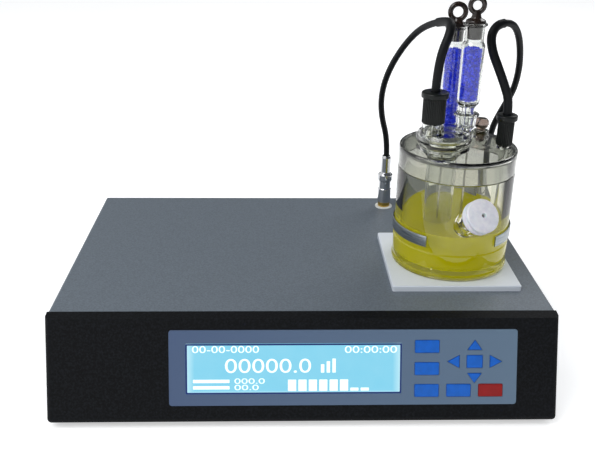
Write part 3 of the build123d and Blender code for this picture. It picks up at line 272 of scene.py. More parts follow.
def powder_coat():
    """Textured powder coat: a fine grit, and faint lighter and darker specks."""
    tone = finish().cover_grey
    return mottled("Textured powder coat", shade(tone, 0.86), shade(tone, 1.14), 0.0011, bump=0.25,
        depth=0.00008, Roughness=0.46, Specular_IOR_Level=0.42)[0]


def grained_abs():
    """Moulded ABS with a leather grain: cells of about a millimetre, their ridges catching light."""
    tone = finish().moulding_black
    made, tree, shader = material("Leather-grained ABS", Roughness=0.62, Specular_IOR_Level=0.14)
    place = spot(tree)
    warp = noise(tree, place, 700.0)
    cells = add(tree, "TexVoronoi", {"Scale": 900.0}, {"Vector": place}, feature="DISTANCE_TO_EDGE")
    grain = reckon(tree, "MINIMUM", cells.outputs["Distance"], 0.5)
    relief(tree, shader, reckon(tree, "ADD", grain, warp), 0.5, 0.00025)
    paint(tree, shader, between(tree, warp, 0.42, 0.72), shade(tone, 0.7), shade(tone, 2.2))
    return made


def panel_film():
    """Printed polyester film: satin, with painted light that makes it a little lighter towards its right
    end.
    """
    tone = finish().panel_blue
    made, tree, shader = material("Printed polyester film", Roughness=0.42, Specular_IOR_Level=0.45)
    # Painted light: the film grows lighter towards its right end
    share = between(tree, axis(tree, "X"), -0.09, 0.142)
    paint(tree, shader, share, shade(tone, 0.92), linear("#6A8198"))
    relief(tree, shader, noise(tree, spot(tree), 2500.0), 0.08, 0.00005)
    return made


def lit_display():
    """Liquid-crystal display, lit from behind: paler towards its ends and its foot."""
    tone = finish().display_cyan
    made, tree, shader = material("Backlit display", Roughness=0.22, Base_Color=shade(tone, 0.15),
        Emission_Strength=0.92, Specular_IOR_Level=0.3)
    mid = middle("display_lens")
    away = reckon(tree, "ABSOLUTE", reckon(tree, "SUBTRACT", axis(tree, "X"), mid.x))
    side = between(tree, away, 0.0655, 0.0715)
    low = between(tree, axis(tree, "Z"), mid.z - 0.0135, mid.z - 0.016)
    glow = reckon(tree, "MAXIMUM", side, low)
    share = reckon(tree, "MULTIPLY_ADD", noise(tree, spot(tree), 60.0), 0.25, glow)
    paint(tree, shader, share, linear("#7FD0EC"), linear("#C2EDF8"), "Emission Color")
    return made


def glass_tinted(name, tint, low=None):
    """Borosilicate glass: colourless to the eye when thin, and grey-green through several walls.
    With a low tint it is browner near the reagent."""
    made, tree, shader = material(name, Roughness=0.0, IOR=1.474, Transmission_Weight=1.0, Base_Color=tint)
    if low is not None:
        share = between(tree, axis(tree, "Z"), PLATE_Z + LIQUID * MM + 0.002, PLATE_Z + 0.068)
        paint(tree, shader, share, low, tint)
    return made


def reagent():
    """Iodine reagent in methanol: a clear yellow liquid. Its slight glow stands for scattered light."""
    return material("Clear yellow reagent", Roughness=0.0, IOR=1.34, Transmission_Weight=0.6,
        Base_Color=finish().reagent_yellow, Emission_Strength=0.13,
        Emission_Color=finish().reagent_yellow)[0]


def plated(name, code, rough):
    """Plated or polished metal with very faint turning marks."""
    made, tree, shader = material(name, Metallic=1.0, Roughness=rough, Base_Color=linear(code))
    place = add(tree, "Mapping", {"Scale": (1, 1, 40)}, {"Vector": spot(tree)}).outputs[0]
    relief(tree, shader, noise(tree, place, 90.0), 0.06, 0.00005)
    return made


def bead_gel():
    """Silica gel: glossy beads, no two of quite the same blue. Their slight glow is light let through."""
    tone = finish().gel_blue
    made, tree, shader = material("Blue silica gel", Roughness=0.3, Specular_IOR_Level=0.35,
        Emission_Strength=0.22, Emission_Color=tone, IOR=1.46)
    own = add(tree, "Attribute", attribute_name="bead")
    ramp = add(tree, "ValToRGB", links={"Fac": own.outputs["Fac"]})
    ramp.color_ramp.elements[0].color = shade(tone, 0.45)
    ramp.color_ramp.elements[1].color = linear("#3F5BF0")
    ramp.color_ramp.elements.new(0.6).color = tone
    tree.links.new(ramp.outputs[0], shader.inputs["Base Color"])
    return made


def plain(name, code, rough, grain=0.003, spread=0.06, bump=0.1, **values):
    """A quiet surface in one colour, with a faint wander of tone and a fine bump."""
    tone = linear(code)
    return mottled(name, shade(tone, 1 - spread), shade(tone, 1 + spread), grain, bump=bump, depth=0.00005,
        Roughness=rough, **values)[0]


# Shapes, in millimetres

def soften(outline, fine=5):
    """An outline with its corners rounded: each point may have a third value, the corner's radius."""
    points = []
    for i, point in enumerate(outline):
        corner = Vector(point[:2])
        before = Vector(outline[i - 1][:2]) - corner
        after = Vector(outline[(i + 1) % len(outline)][:2]) - corner
        if len(point) < 3 or not before.length or not after.length:
            points.append(corner)
            continue
        half = before.angle(after) / 2
        reach = min(point[2] / math.tan(half), 0.49 * before.length, 0.49 * after.length)
        toward = (before.normalized() + after.normalized()).normalized()
        centre = corner + toward * (reach / math.cos(half))
        start = corner + before.normalized() * reach - centre
        end = corner + after.normalized() * reach - centre
        sweep = start.angle(end)
        for k in range(fine + 1):
            share = k / fine
            mixed = start * math.sin((1 - share) * sweep) + end * math.sin(share * sweep)
            points.append(centre + mixed / math.sin(sweep))
    return points


def lathe(outline, place=Matrix(), steps=96, fine=5):
    """A closed shell turned about Z from an outline of radius and height."""
    shell = bmesh.new()
    rings = []
    for radius, height in soften(outline, fine):
        count = steps if radius > 1e-6 else 1
        rings.append([shell.verts.new((radius * MM * math.cos(2 * math.pi * k / count),
            radius * MM * math.sin(2 * math.pi * k / count), height * MM)) for k in range(count)])
    for lower, upper in zip(rings, rings[1:] + rings[:1]):
        if len(lower) + len(upper) == 2:
            continue
        for k in range(steps):
            corners = [lower[k % len(lower)], lower[(k + 1) % len(lower)], upper[(k + 1) % len(upper)],
                upper[k % len(upper)]]
            shell.faces.new(list(dict.fromkeys(corners)))
    bmesh.ops.recalc_face_normals(shell, faces=shell.faces)
    bmesh.ops.transform(shell, matrix=place, verts=shell.verts)
    return shell


def turned(outline, place, steps=96, fine=5):
    """A solid turned part, closed along its axis at the heights of its outline's ends."""
    return lathe([(0, outline[0][1]), *outline, (0, outline[-1][1])], place, steps, fine)


def rod(radius, low, high, place, steps=96, upper=None, edge=None):
    """A plain cylinder, or a cone up to another radius."""
    corner = (edge,) if edge else ()
    return turned([(radius, low, *corner), (upper or radius, high, *corner)], place, steps)


def prism(outline, low, high, place=Matrix(), edge=0.0, fine=5):
    """A flat outline raised between two heights, with its upper rim rounded."""
    shell = bmesh.new()
    points = soften(outline, fine)
    floor = [shell.verts.new((x * MM, y * MM, low * MM)) for x, y in points]
    roof = [shell.verts.new((x * MM, y * MM, high * MM)) for x, y in points]
    shell.faces.new(list(reversed(floor)))
    top = shell.faces.new(roof)
    for k in range(len(points)):
        after = (k + 1) % len(points)
        shell.faces.new((floor[k], floor[after], roof[after], roof[k]))
    bmesh.ops.recalc_face_normals(shell, faces=shell.faces)
    if edge:
        bmesh.ops.bevel(shell, geom=list(top.edges), offset=edge * MM, segments=2, affect="EDGES")
    bmesh.ops.transform(shell, matrix=place, verts=shell.verts)
    return shell


def rectangle(wide, high, corner, at=(0, 0)):
    """A rectangle's outline with rounded corners, about a point."""
    x, y = at
    return [(x - wide / 2, y - high / 2, corner), (x + wide / 2, y - high / 2, corner),
        (x + wide / 2, y + high / 2, corner), (x - wide / 2, y + high / 2, corner)]


def ring(radius, wire, place, steps=64, around=20):
    """A torus about the Z of its place."""
    outline = [(radius + wire * math.cos(2 * math.pi * k / around),
        wire * math.sin(2 * math.pi * k / around)) for k in range(around)]
    return lathe(outline, place, steps)


def show(name, data):
    """A new object in the scene."""
    made = bpy.data.objects.new(name, data)
    bpy.context.scene.collection.objects.link(made)
    return made


def mesh(name, shell):
    """A mesh from a shell that is then spent."""
    data = bpy.data.meshes.new(name)
    shell.to_mesh(data)
    shell.free()
    return data


def temporary(shell):
    """A mesh object that a modifier can use, from a shell that is then spent."""
    return show("shape", mesh("shape", shell))


def settled(thing):
    """The mesh that an object's modifiers give, with the modifiers then removed."""
    bpy.context.view_layer.update()
    data = bpy.data.meshes.new_from_object(thing.evaluated_get(bpy.context.evaluated_depsgraph_get()))
    thing.modifiers.clear()
    old, thing.data = thing.data, data
    bpy.data.meshes.remove(old)
    return thing


def combine(base, *steps):
    """One shell from several: each step is an operation and a shell."""
    body = temporary(base)
    tools = []
    for operation, shell in steps:
        tools.append(temporary(shell))
        modifier = body.modifiers.new("step", "BOOLEAN")
        modifier.operation = operation
        modifier.solver = "EXACT"
        modifier.object = tools[-1]
    settled(body)
    result = bmesh.new()
    result.from_mesh(body.data)
    bmesh.ops.remove_doubles(result, verts=result.verts, dist=1e-6)
    for thing in [body] + tools:
        data = thing.data
        bpy.data.objects.remove(thing)
        bpy.data.meshes.remove(data)
    return result


def piece(name, shell, look, body=ROOT, nodes=(), sharp=32):
    """A finished piece from one shell or several: smooth, in its material, and riding on its body."""
    whole = bmesh.new()
    for one in shell if isinstance(shell, list) else [shell]:
        data = mesh("part", one)
        whole.from_mesh(data)
        bpy.data.meshes.remove(data)
    data = mesh(name, whole)
    data.shade_smooth()
    data.set_sharp_from_angle(angle=math.radians(sharp))
    data.materials.append(look)
    return attach(show(name, data), body, nodes)


def attach(made, body=ROOT, nodes=()):
    """Let a piece ride on its body and stand for its CAD nodes."""
    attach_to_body(made, body)
    if nodes:
        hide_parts(*nodes)
    return made


def dress(look, *nodes):
    """Give CAD nodes a material."""
    for name in nodes:
        data = frame["nodes"][name].data
        data.materials.clear()
        data.materials.append(look)


# Geometry Nodes trees

def open_tree(name, inputs):
    """A node tree with a geometry in and out, and named inputs."""
    tree = bpy.data.node_groups.new(name, "GeometryNodeTree")
    tree.interface.new_socket(name="Geometry", in_out="INPUT", socket_type="NodeSocketGeometry")
    for label, kind in inputs:
        tree.interface.new_socket(name=label, in_out="INPUT", socket_type="NodeSocket" + kind)
    tree.interface.new_socket(name="Geometry", in_out="OUTPUT", socket_type="NodeSocketGeometry")
    return tree, add(tree, "NodeGroupInput").outputs


def close_tree(tree, result, given):
    """End a tree: join its result to what came in, realise the instances and set the material."""
    both = add(tree, "JoinGeometry")
    tree.links.new(result, both.inputs[0])
    tree.links.new(given["Geometry"], both.inputs[0])
    solid = add(tree, "RealizeInstances", links={"Geometry": both.outputs[0]})
    dressed = add(tree, "SetMaterial", links={"Geometry": solid.outputs[0], "Material": given["Material"]})
    add(tree, "NodeGroupOutput", links={0: dressed.outputs[0]})
    return tree


def rib_tree():
    """Ribs round a turned part."""
    tree, given = open_tree("Ribs round a part", [("Radius", "Float"), ("Height", "Float"),
        ("Count", "Int"), ("Rib radius", "Float"), ("Centre", "Vector"), ("Material", "Material")])
    circle = add(tree, "MeshCircle", links={"Vertices": given["Count"], "Radius": given["Radius"]})
    rib = add(tree, "MeshCylinder", {"Vertices": 10}, {"Radius": given["Rib radius"],
        "Depth": given["Height"]})
    ribs = add(tree, "InstanceOnPoints", links={"Points": circle.outputs[0], "Instance": rib.outputs[0]})
    placed = add(tree, "Transform", links={"Geometry": ribs.outputs[0], "Translation": given["Centre"]})
    return close_tree(tree, placed.outputs[0], given)


def bead_tree():
    """Beads packed against the surface of a column."""
    tree, given = open_tree("Beads on a column", [("Radius", "Float"), ("Spacing", "Float"),
        ("Seed", "Int"), ("Material", "Material")])
    spread = add(tree, "DistributePointsOnFaces", {"Density Max": 2.0e6}, {"Mesh": given["Geometry"],
        "Distance Min": given["Spacing"], "Seed": given["Seed"]}, distribute_method="POISSON")
    ball = add(tree, "MeshIcoSphere", {"Subdivisions": 2}, {"Radius": given["Radius"]})
    size = add(tree, "FunctionNodeRandomValue", links={"Seed": given["Seed"]})
    size.inputs[2].default_value = 0.78
    size.inputs[3].default_value = 1.12
    balls = add(tree, "InstanceOnPoints", links={"Points": spread.outputs[0], "Instance": ball.outputs[0],
        "Scale": size.outputs[1]})
    own = add(tree, "FunctionNodeRandomValue", links={"Seed": given["Seed"]})
    marked = add(tree, "StoreNamedAttribute", {"Name": "bead"}, {"Geometry": balls.outputs[0],
        "Value": own.outputs[1]}, domain="INSTANCE")
    return close_tree(tree, marked.outputs[0], given)


def grown(made, tree, values):
    """Run a tree on a piece and keep the plain mesh."""
    modifier = made.modifiers.new(tree.name, "NODES")
    modifier.node_group = tree
    for item in tree.interface.items_tree:
        if item.in_out == "INPUT" and item.name in values:
            modifier[item.identifier] = values[item.name]
    settled(made)
    made.data.shade_smooth()
    made.data.set_sharp_from_angle(angle=math.radians(32))
    return made


# Routes of the leads in metres, as the CAD model has them
GENERATOR_LEAD = [(.068, .084, .158), (.066, .074, .180), (.070, .061, .203), (.079, .044, .226),
    (.088, .025, .241)]
GENERATOR_SLEEVE = [(.099, -.008, .250), (.097, -.019, .244), (.0915, -.022, .231)]
DETECTOR_LEAD = [(.150, .047, .157), (.155, .041, .175), (.1595, .033, .191), (.1595, .025, .209),
    (.156, .017, .226), (.150, .008, .240), (.142, -.0005, .2475)]
DETECTOR_SLEEVE = [(.131, -.006, .247), (.126, -.011, .240), (.1275, -.015, .230), (.132, -.0175, .220),
    (.1375, -.0182, .208)]
LEAD_R, SLEEVE_R = 0.0024, 0.0031
STRAIGHT_OUT, STRAIGHT_IN = 0.018, 0.012
PLUG_BORE, SLEEVE_IN = 0.004, 0.003


def flex(name, points, thick, look):
    """A smooth round lead through its route's points."""
    line = bpy.data.curves.new(name, "CURVE")
    line.dimensions = "3D"
    line.bevel_depth = thick
    line.bevel_resolution = 6
    line.resolution_u = 12
    line.use_fill_caps = True
    spline = line.splines.new("NURBS")
    spline.points.add(len(points) - 1)
    for knot, place in zip(spline.points, points):
        knot.co = (*place, 1.0)
    spline.order_u = 3
    spline.use_endpoint_u = True
    line.materials.append(look)
    return show(name, line)


def lead_points(plug, cap, lead, sleeve):
    """The full routes of a lead and its sleeve, which meet half way between their nearest points."""
    foot = middle(plug)
    foot.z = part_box(plug)[1].z - PLUG_BORE
    head = middle(cap)
    head.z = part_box(cap)[1].z - SLEEVE_IN
    meet = (Vector(lead[-1]) + Vector(sleeve[0])) / 2
    first = [foot, foot + Vector((0, 0, STRAIGHT_OUT))] + [Vector(p) for p in lead] + [meet]
    second = [meet] + [Vector(p) for p in sleeve] + [head + Vector((0, 0, STRAIGHT_IN)), head]
    return first, second


class TITRATOR_OT_stage(bpy.types.Operator):
    """Set up the camera, the floor and the studio light"""
    bl_idname = "titrator.stage"
    bl_label = "Stage"

    def execute(self, context):
        stage = context.scene.titrator_stage
        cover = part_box("top_cover")
        pitch, yaw, roll = (math.radians(a) for a in CAMERA_ANGLES)
        ahead = Vector((math.sin(yaw) * math.cos(pitch), math.cos(yaw) * math.cos(pitch), -math.sin(pitch)))
        right = Vector((math.cos(yaw), -math.sin(yaw), 0))
        up = right.cross(ahead)
        across = right * math.cos(roll) + up * math.sin(roll)
        above = up * math.cos(roll) - right * math.sin(roll)
        eye = show("camera", bpy.data.cameras.new("camera"))
        eye.data.lens = stage.lens
        eye.data.sensor_width = 36.0
        turn = Matrix((across, above, -ahead)).transposed()
        place = Vector((CAMERA_X, cover[0].y - CAMERA_FORWARD, cover[1].z + CAMERA_UP))
        eye.matrix_world = Matrix.Translation(place) @ turn.to_4x4()
        context.scene.camera = eye
        self.light(context, stage)
        self.floor(context)
        context.scene.view_settings.view_transform = "Standard"
        return {"FINISHED"}

    def light(self, context, stage):
        """A large soft lamp from above left, and a pale studio all round."""
        for name, power, size, place in (("key lamp", stage.key_power, 1.1, (-0.9, -0.7, 1.5)),
                ("back lamp", stage.key_power * 0.4, 0.8, (0.9, 1.0, 1.2))):
            lamp = bpy.data.lights.new(name, "AREA")
            lamp.energy = power
            lamp.size = size
            made = show(name, lamp)
            made.location = place
            aim = Vector((0, 0, 0.08)) - made.location
            made.rotation_euler = aim.to_track_quat("-Z", "Y").to_euler()
        world = bpy.data.worlds.new("studio")
        world.use_nodes = True
        tree = world.node_tree
        tree.nodes.clear()
        ray = add(tree, "LightPath")
        side = add(tree, "SeparateXYZ", links={"Vector": add(tree, "TexCoord").outputs["Generated"]})
        room = blend(tree, between(tree, side.outputs["Y"], -0.35, 0.15), (0.30, 0.29, 0.28, 1.0), WHITE)
        seen = add(tree, "Background", {"Strength": 1.0}, {"Color": room})
        white = add(tree, "Background", {"Color": WHITE, "Strength": 1.0})
        lit = add(tree, "Background", {"Color": (0.93, 0.96, 1.0, 1), "Strength": stage.fill})
        strip = blend(tree, between(tree, side.outputs["X"], -0.25, -0.55), (0.12, 0.125, 0.13, 1.0), WHITE)
        gloss = add(tree, "Background", {"Strength": 1.0}, {"Color": strip})
        for kind, surface in (("Transmission", seen), ("Glossy", gloss), ("Camera", white)):
            lit = add(tree, "MixShader", links={0: ray.outputs["Is " + kind + " Ray"], 1: lit.outputs[0],
                2: surface.outputs[0]})
        add(tree, "OutputWorld", links={0: lit.outputs[0]})
        context.scene.world = world

    def floor(self, context):
        """A plain pale bench, lifted to white where the camera sees it lit."""
        shell = bmesh.new()
        bmesh.ops.create_grid(shell, x_segments=1, y_segments=1, size=4.0)
        data = mesh("floor", shell)
        look, tree, shader = mottled("Pale bench", linear("#EDEDED"), linear("#F1F1F1"), 0.4, Roughness=0.8,
            Specular_IOR_Level=0.1)
        ray = add(tree, "LightPath")
        seen = reckon(tree, "MAXIMUM", ray.outputs["Is Camera Ray"], ray.outputs["Is Transmission Ray"])
        seen = reckon(tree, "MAXIMUM", seen, ray.outputs["Is Glossy Ray"])
        share = reckon(tree, "MULTIPLY", seen, 0.52)
        shader.inputs["Emission Color"].default_value = WHITE
        tree.links.new(share, shader.inputs["Emission Strength"])
        data.materials.append(look)
        show("floor", data)


class TITRATOR_OT_leads(bpy.types.Operator):
    """Lay the two black leads and the thicker sleeves at their caps"""
    bl_idname = "titrator.leads"
    bl_label = "Leads"

    def execute(self, context):
        # Black with a faint soft sheen
        look = plain("Black rubber lead", "#0A0D10", 0.5, grain=0.004, spread=0.15, Specular_IOR_Level=0.2)
        for name, lead, sleeve in (("generator", GENERATOR_LEAD, GENERATOR_SLEEVE),
                ("detector", DETECTOR_LEAD, DETECTOR_SLEEVE)):
            first, second = lead_points(name + "_plug", name + "_cap", lead, sleeve)
            thin = flex(name + "_flex", first, LEAD_R, look)
            thick = flex(name + "_sleeve", list(reversed(second)), SLEEVE_R, look)
            attach(thin, ROOT, [name + "_lead"])
            attach(thick, ROOT, [])
        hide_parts("lead_sleeves")
        return {"FINISHED"}


class TITRATOR_OT_casing(bpy.types.Operator):
    """Finish the casing: cover, front moulding, base, rear panel, feet and screws"""
    bl_idname = "titrator.casing"
    bl_label = "Casing"

    def execute(self, context):
        dress(powder_coat(), "top_cover")
        dress(grained_abs(), "front_bezel")
        # Smoother and darker than the cover
        dress(plain("Powder-coated rear sheet", "#5C6670", 0.5, grain=0.0012, spread=0.1, bump=0.2),
            "rear_panel")
        # Evenly bright, with soft reflections
        dress(plain("Zinc-plated sheet", "#A9ADAE", 0.38, grain=0.02, spread=0.08, Metallic=1.0),
            "base_pan", "stirrer_bracket", "clamp_bracket")
        # Dull, and darker than what is round it
        dress(plain("Moulded rubber foot", "#1A1A1A", 0.8, grain=0.001, spread=0.2, bump=0.3),
            "rubber_feet")
        # A dark gleam round the socket
        dress(plain("Blackened steel screw", "#4B4E50", 0.35, grain=0.001, Metallic=1.0), "case_screws")
        return {"FINISHED"}


class TITRATOR_OT_inside(bpy.types.Operator):
    """Finish what lies inside the casing"""
    bl_idname = "titrator.inside"
    bl_label = "Inside"

    def execute(self, context):
        # Satin black without the front's grain
        dress(plain("Black moulded plastic", "#1C1D1F", 0.5, grain=0.0015, spread=0.2), "display_frame",
            "board_parts")
        # Green with a slight gloss
        dress(plain("Green solder mask", "#14502C", 0.3, grain=0.006, spread=0.12), "circuit_boards")
        # Fine stripes along the stack, drawn coarser than the plates to show
        dress(plain("Varnished core plates", "#4A4A4C", 0.45, grain=0.0005, spread=0.25, stretch=(1, 60, 1),
            Metallic=0.8), "transformer_core")
        # Amber tape in narrow rings
        dress(plain("Taped winding", "#B5812F", 0.5, grain=0.002, spread=0.12, stretch=(1, 1, 12)),
            "transformer_coil")
        # Soft metal highlights
        dress(plain("Motor can", "#8D9193", 0.3, grain=0.01, Metallic=1.0), "stirrer_motor")
        # Matt black
        dress(plain("Black rotor disc", "#26282A", 0.45, grain=0.004, spread=0.15), "stirrer_rotor")
        return {"FINISHED"}


class TITRATOR_OT_rear(bpy.types.Operator):
    """Finish the fittings of the rear panel"""
    bl_idname = "titrator.rear"
    bl_label = "Rear fittings"

    def execute(self, context):
        # Satin black that shows its edges
        black = plain("Black thermoplastic", "#17181A", 0.42, grain=0.0012, spread=0.2, bump=0.15)
        dress(black, "power_inlet", "fuse_drawer", "switch_housing")
        # Glossier than its housing
        dress(plain("Glossy rocker", "#1A1B1D", 0.22, grain=0.004, spread=0.1, bump=0.04), "power_rocker")
        # Pale metal round the pins
        dress(plain("Tinned steel shell", "#B9BCBD", 0.3, grain=0.003, Metallic=1.0), "serial_port")
        return {"FINISHED"}


# Keys and display in millimetres on the raked face
KEY_WIDE, ENTER_WIDE, KEY_HIGH, DISPLAY_MID = 16.2, 10.6, 8.5, (-6.7, 37.5)
ARROW_TALL, ARROW_BASE, KEY_TOP, KEY_SINK = 6.6, 9.6, 0.5, 0.7
# Middles of the boxed keys, and of the arrows from the centre key, with their turn in degrees
KEY_BOXES = {"set": (81.7, 52.2), "back": (81.7, 37.2), "stir": (81.7, 22.4), "electrolysis": (103.1, 22.4),
    "start": (124.5, 22.4)}
ARROW_MID = (113.6, 41.9)
ARROWS = {"up": (0, 11.2, 0), "left": (-14.2, 0, 90), "down": (0, -11.2, 180), "right": (14.2, 0, 270)}


class TITRATOR_OT_keys(bpy.types.Operator):
    """Build the ten keys with rounded rims"""
    bl_idname = "titrator.keys"
    bl_label = "Keys"

    def execute(self, context):
        # Satin, strongly coloured and nearly flat in tone
        blue, red = (mottled(name, shade(tone, 0.93), shade(tone, 1.07), 0.004, bump=0.06, Roughness=0.34,
            Specular_IOR_Level=0.5)[0] for name, tone in (("Blue key cap", finish().key_blue),
            ("Red key cap", finish().key_red)))
        outlines = {name: rectangle(KEY_WIDE, KEY_HIGH, 0.8, at) for name, at in KEY_BOXES.items()}
        outlines["enter"] = rectangle(ENTER_WIDE, KEY_HIGH, 0.6, ARROW_MID)
        for name, (x, y, turn) in ARROWS.items():
            base, tall = (ARROW_BASE, ARROW_TALL) if turn % 180 == 0 else (KEY_HIGH, 8.0)
            spin = Matrix.Rotation(math.radians(turn), 2)
            points = [spin @ Vector(p) for p in ((-base / 2, -tall / 2), (base / 2, -tall / 2),
                (0, tall / 2))]
            outlines[name] = [(ARROW_MID[0] + x + p.x, ARROW_MID[1] + y + p.y, 0.25) for p in points]
        for name, outline in outlines.items():
            shell = prism(outline, -KEY_SINK, KEY_TOP, FACE, edge=0.3)
            stem = rod(1.6, -6, -0.6, FACE @ Matrix.Translation((*self.stem(name), 0)), 24)
            look, slot = (red, "key_red") if name == "start" else (blue, "key_blue")
            piece("key_cap_" + name, [shell, stem], look, "key_" + name, ["key_" + name])
        return {"FINISHED"}

    def stem(self, name):
        """Where a key's stem goes in, in metres on the face."""
        if name in KEY_BOXES:
            x, y = KEY_BOXES[name]
        else:
            x, y = (a + b for a, b in zip(ARROW_MID, ARROWS.get(name, (0, 0))))
        return x * MM, y * MM


class TITRATOR_OT_panel(bpy.types.Operator):
    """Finish the control panel and its lit display, with plain numbers on it"""
    bl_idname = "titrator.panel"
    bl_label = "Control panel"

    def execute(self, context):
        dress(panel_film(), "control_panel")
        dress(lit_display(), "display_lens")
        # A thin dark line round the lit field
        navy = plain("Navy printed frame", "#0B2C78", 0.4)
        outer, inner = rectangle(143.0, 33.8, 0.6, DISPLAY_MID), rectangle(140.9, 31.7, 0.4, DISPLAY_MID)
        rim = combine(prism(outer, 0.01, 0.12, FACE), ("DIFFERENCE", prism(inner, -1, 1, FACE)))
        piece("display_border", rim, navy)
        self.figures()
        return {"FINISHED"}

    def figures(self):
        """Pale figures and bars on the display: plain numbers only."""
        # Paler than the lit field behind them
        look, tree, shader = material("Lit figures", Base_Color=linear("#9FB6BE"), Roughness=0.4,
            Emission_Color=linear("#F6FEFF"), Emission_Strength=0.95)
        parts = []
        # Words, left and foot on the face, height and width
        for words, u, v, tall, wide in (("00000.0", -52.2, 34.9, 9.4, 56.8),
                ("00-00-0000", -73.8, 48.4, 4.6, 44.0), ("00:00:00", 27.0, 48.1, 4.6, 34.6),
                ("000.0", -46.0, 27.6, 3.6, 20.0), ("00.0", -46.0, 23.3, 3.6, 16.0)):
            parts.append(self.number(words, u, v, tall, wide))
        # Signal bars and value bars: left, foot, width and height
        for u, v, wide, tall in ((11.2, 34.9, 2.2, 5.6), (15.0, 34.9, 2.2, 7.6), (18.8, 34.9, 2.2, 9.4),
                (-73.3, 28.2, 24.0, 2.2), (-73.3, 23.9, 24.0, 2.2)):
            parts.append(prism(rectangle(wide, tall, 0.2, (u + wide / 2, v + tall / 2)), 0.01, 0.06, FACE))
        # Eight key labels in a row, the last two low
        for k in range(8):
            tall = 7.6 if k < 6 else 2.0
            parts.append(prism(rectangle(5.4, tall, 0.3, (-7.9 + 6.9 * k, 22.6 + tall / 2)), 0.01, 0.06,
                FACE))
        piece("display_figures", parts, look)

    def number(self, words, u, v, tall, wide):
        """Figures from the plain built-in face, fitted to a box on the display."""
        line = bpy.data.curves.new("figures", "FONT")
        line.body = words
        line.extrude = 0.02
        line.offset = -0.004
        thing = show("figures", line)
        bpy.context.view_layer.update()
        data = bpy.data.meshes.new_from_object(thing.evaluated_get(bpy.context.evaluated_depsgraph_get()))
        shell = bmesh.new()
        shell.from_mesh(data)
        xs, ys = [p.co.x for p in shell.verts], [p.co.y for p in shell.verts]
        fit = Matrix.Diagonal((wide * MM / (max(xs) - min(xs)), tall * MM / (max(ys) - min(ys)), MM, 1.0))
        shift = Matrix.Translation((-min(xs), -min(ys), 0))
        bmesh.ops.transform(shell,
            matrix=FACE @ Matrix.Translation((u * MM, v * MM, 0.04 * MM)) @ fit @ shift, verts=shell.verts)
        bpy.data.objects.remove(thing)
        bpy.data.curves.remove(line)
        bpy.data.meshes.remove(data)
        return shell


class TITRATOR_OT_plate(bpy.types.Operator):
    """Build the white plate and the steel band round the vessel"""
    bl_idname = "titrator.plate"
    bl_label = "Plate and band"

    def execute(self, context):
        low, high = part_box("cell_plate")
        mid = (low + high) / 2
        wide = (high.x - low.x) / MM
        place = Matrix.Translation((mid.x, mid.y, low.z))
        # Clean bluish white with a soft highlight on its edge
        look = plain("White acetal sheet", "#E6ECF4", 0.32, grain=0.03, spread=0.015, bump=0.03)
        piece("white_plate", prism(rectangle(wide, wide, 1.5), 0, (high.z - low.z) / MM, place, edge=0.5),
            look, nodes=["cell_plate"])
        # Fine brush lines that spread the highlight
        steel = mottled("Brushed spring steel", linear("#7C8489"), linear("#AEB5B8"), 0.0012, bump=0.15,
            stretch=(0.12, 0.12, 3), Metallic=1.0, Roughness=0.3)[0]
        piece("vessel_band", self.band(), steel, nodes=["cell_clamp"])
        return {"FINISHED"}

    def band(self, inner=41.8, thick=1.0, low=24.0, tall=8.0, half_gap=35.0):
        """A flat strip bent round the vessel, with rounded edges and a gap to the front."""
        section = soften(rectangle(thick, tall, 0.35, (inner + thick / 2, low + tall / 2)), 3)
        shell = bmesh.new()
        rings = []
        count = 96
        for k in range(count + 1):
            a = math.radians(-90 + half_gap + (360 - 2 * half_gap) * k / count)
            rings.append([shell.verts.new(CELL @ Vector((r * MM * math.cos(a), r * MM * math.sin(a),
                h * MM))) for r, h in section])
        for one, two in zip(rings, rings[1:]):
            for i in range(len(section)):
                j = (i + 1) % len(section)
                shell.faces.new((one[i], one[j], two[j], two[i]))
        shell.faces.new(rings[0])
        shell.faces.new(rings[-1])
        bmesh.ops.recalc_face_normals(shell, faces=shell.faces)
        return shell


class TITRATOR_OT_vessel(bpy.types.Operator):
    """Build the glass vessel with its foot, ledge and side arm"""
    bl_idname = "titrator.vessel"
    bl_label = "Vessel"

    def execute(self, context):
        cup = turned([(42.2, 0.05, 1.2), (42.2, 3, 1.2), (41.6, 4.5, 1.0), (CELL_R + 0.5, LEDGE, 0.5),
            (CELL_R, LEDGE + 1, 0.5), (CELL_R, SEAM - 0.05, 0.4), (JOINT_R, SEAM - 0.05),
            (JOINT_R, JOINT_TOP, 0.4), (INNER_R, JOINT_TOP, 0.4), (INNER_R, FLOOR, 4.0)], CELL, steps=128)
        end = -5.2
        root = -ARM_REACH
        arm = turned([(9.4, root - 6), (9.4, root + 1.2, 1.5), (7.6, root + 3.0, 1.5), (7.2, root + 5, 2),
            (7.2, end, 0.6)], ARM, steps=64)
        inside = rod(JOINT_R, FLOOR + 6, SEAM, CELL, 128)
        bore = rod(4.5, root - 8, end + 1, ARM, 64)
        arm = combine(arm, ("DIFFERENCE", inside))
        shell = combine(cup, ("UNION", arm), ("DIFFERENCE", bore))
        look = glass_tinted("Borosilicate vessel glass", glass().cell_tint, low=linear("#EEEADA"))
        piece("glass_vessel", shell, look, nodes=["cell_vessel"])
        return {"FINISHED"}


class TITRATOR_OT_reagent(bpy.types.Operator):
    """Pour the yellow reagent, with a meniscus that climbs the wall"""
    bl_idname = "titrator.reagent"
    bl_label = "Reagent"

    def execute(self, context):
        wet = INNER_R + 0.04
        outline = [(wet, FLOOR - 0.04, 4.0), (wet, LIQUID + 1.1), (wet - 0.3, LIQUID + 0.9),
            (wet - 0.9, LIQUID + 0.25, 0.8), (wet - 2.4, LIQUID, 1.0)]
        piece("yellow_reagent", turned(outline, CELL, steps=128), reagent(), nodes=["anolyte"])
        return {"FINISHED"}


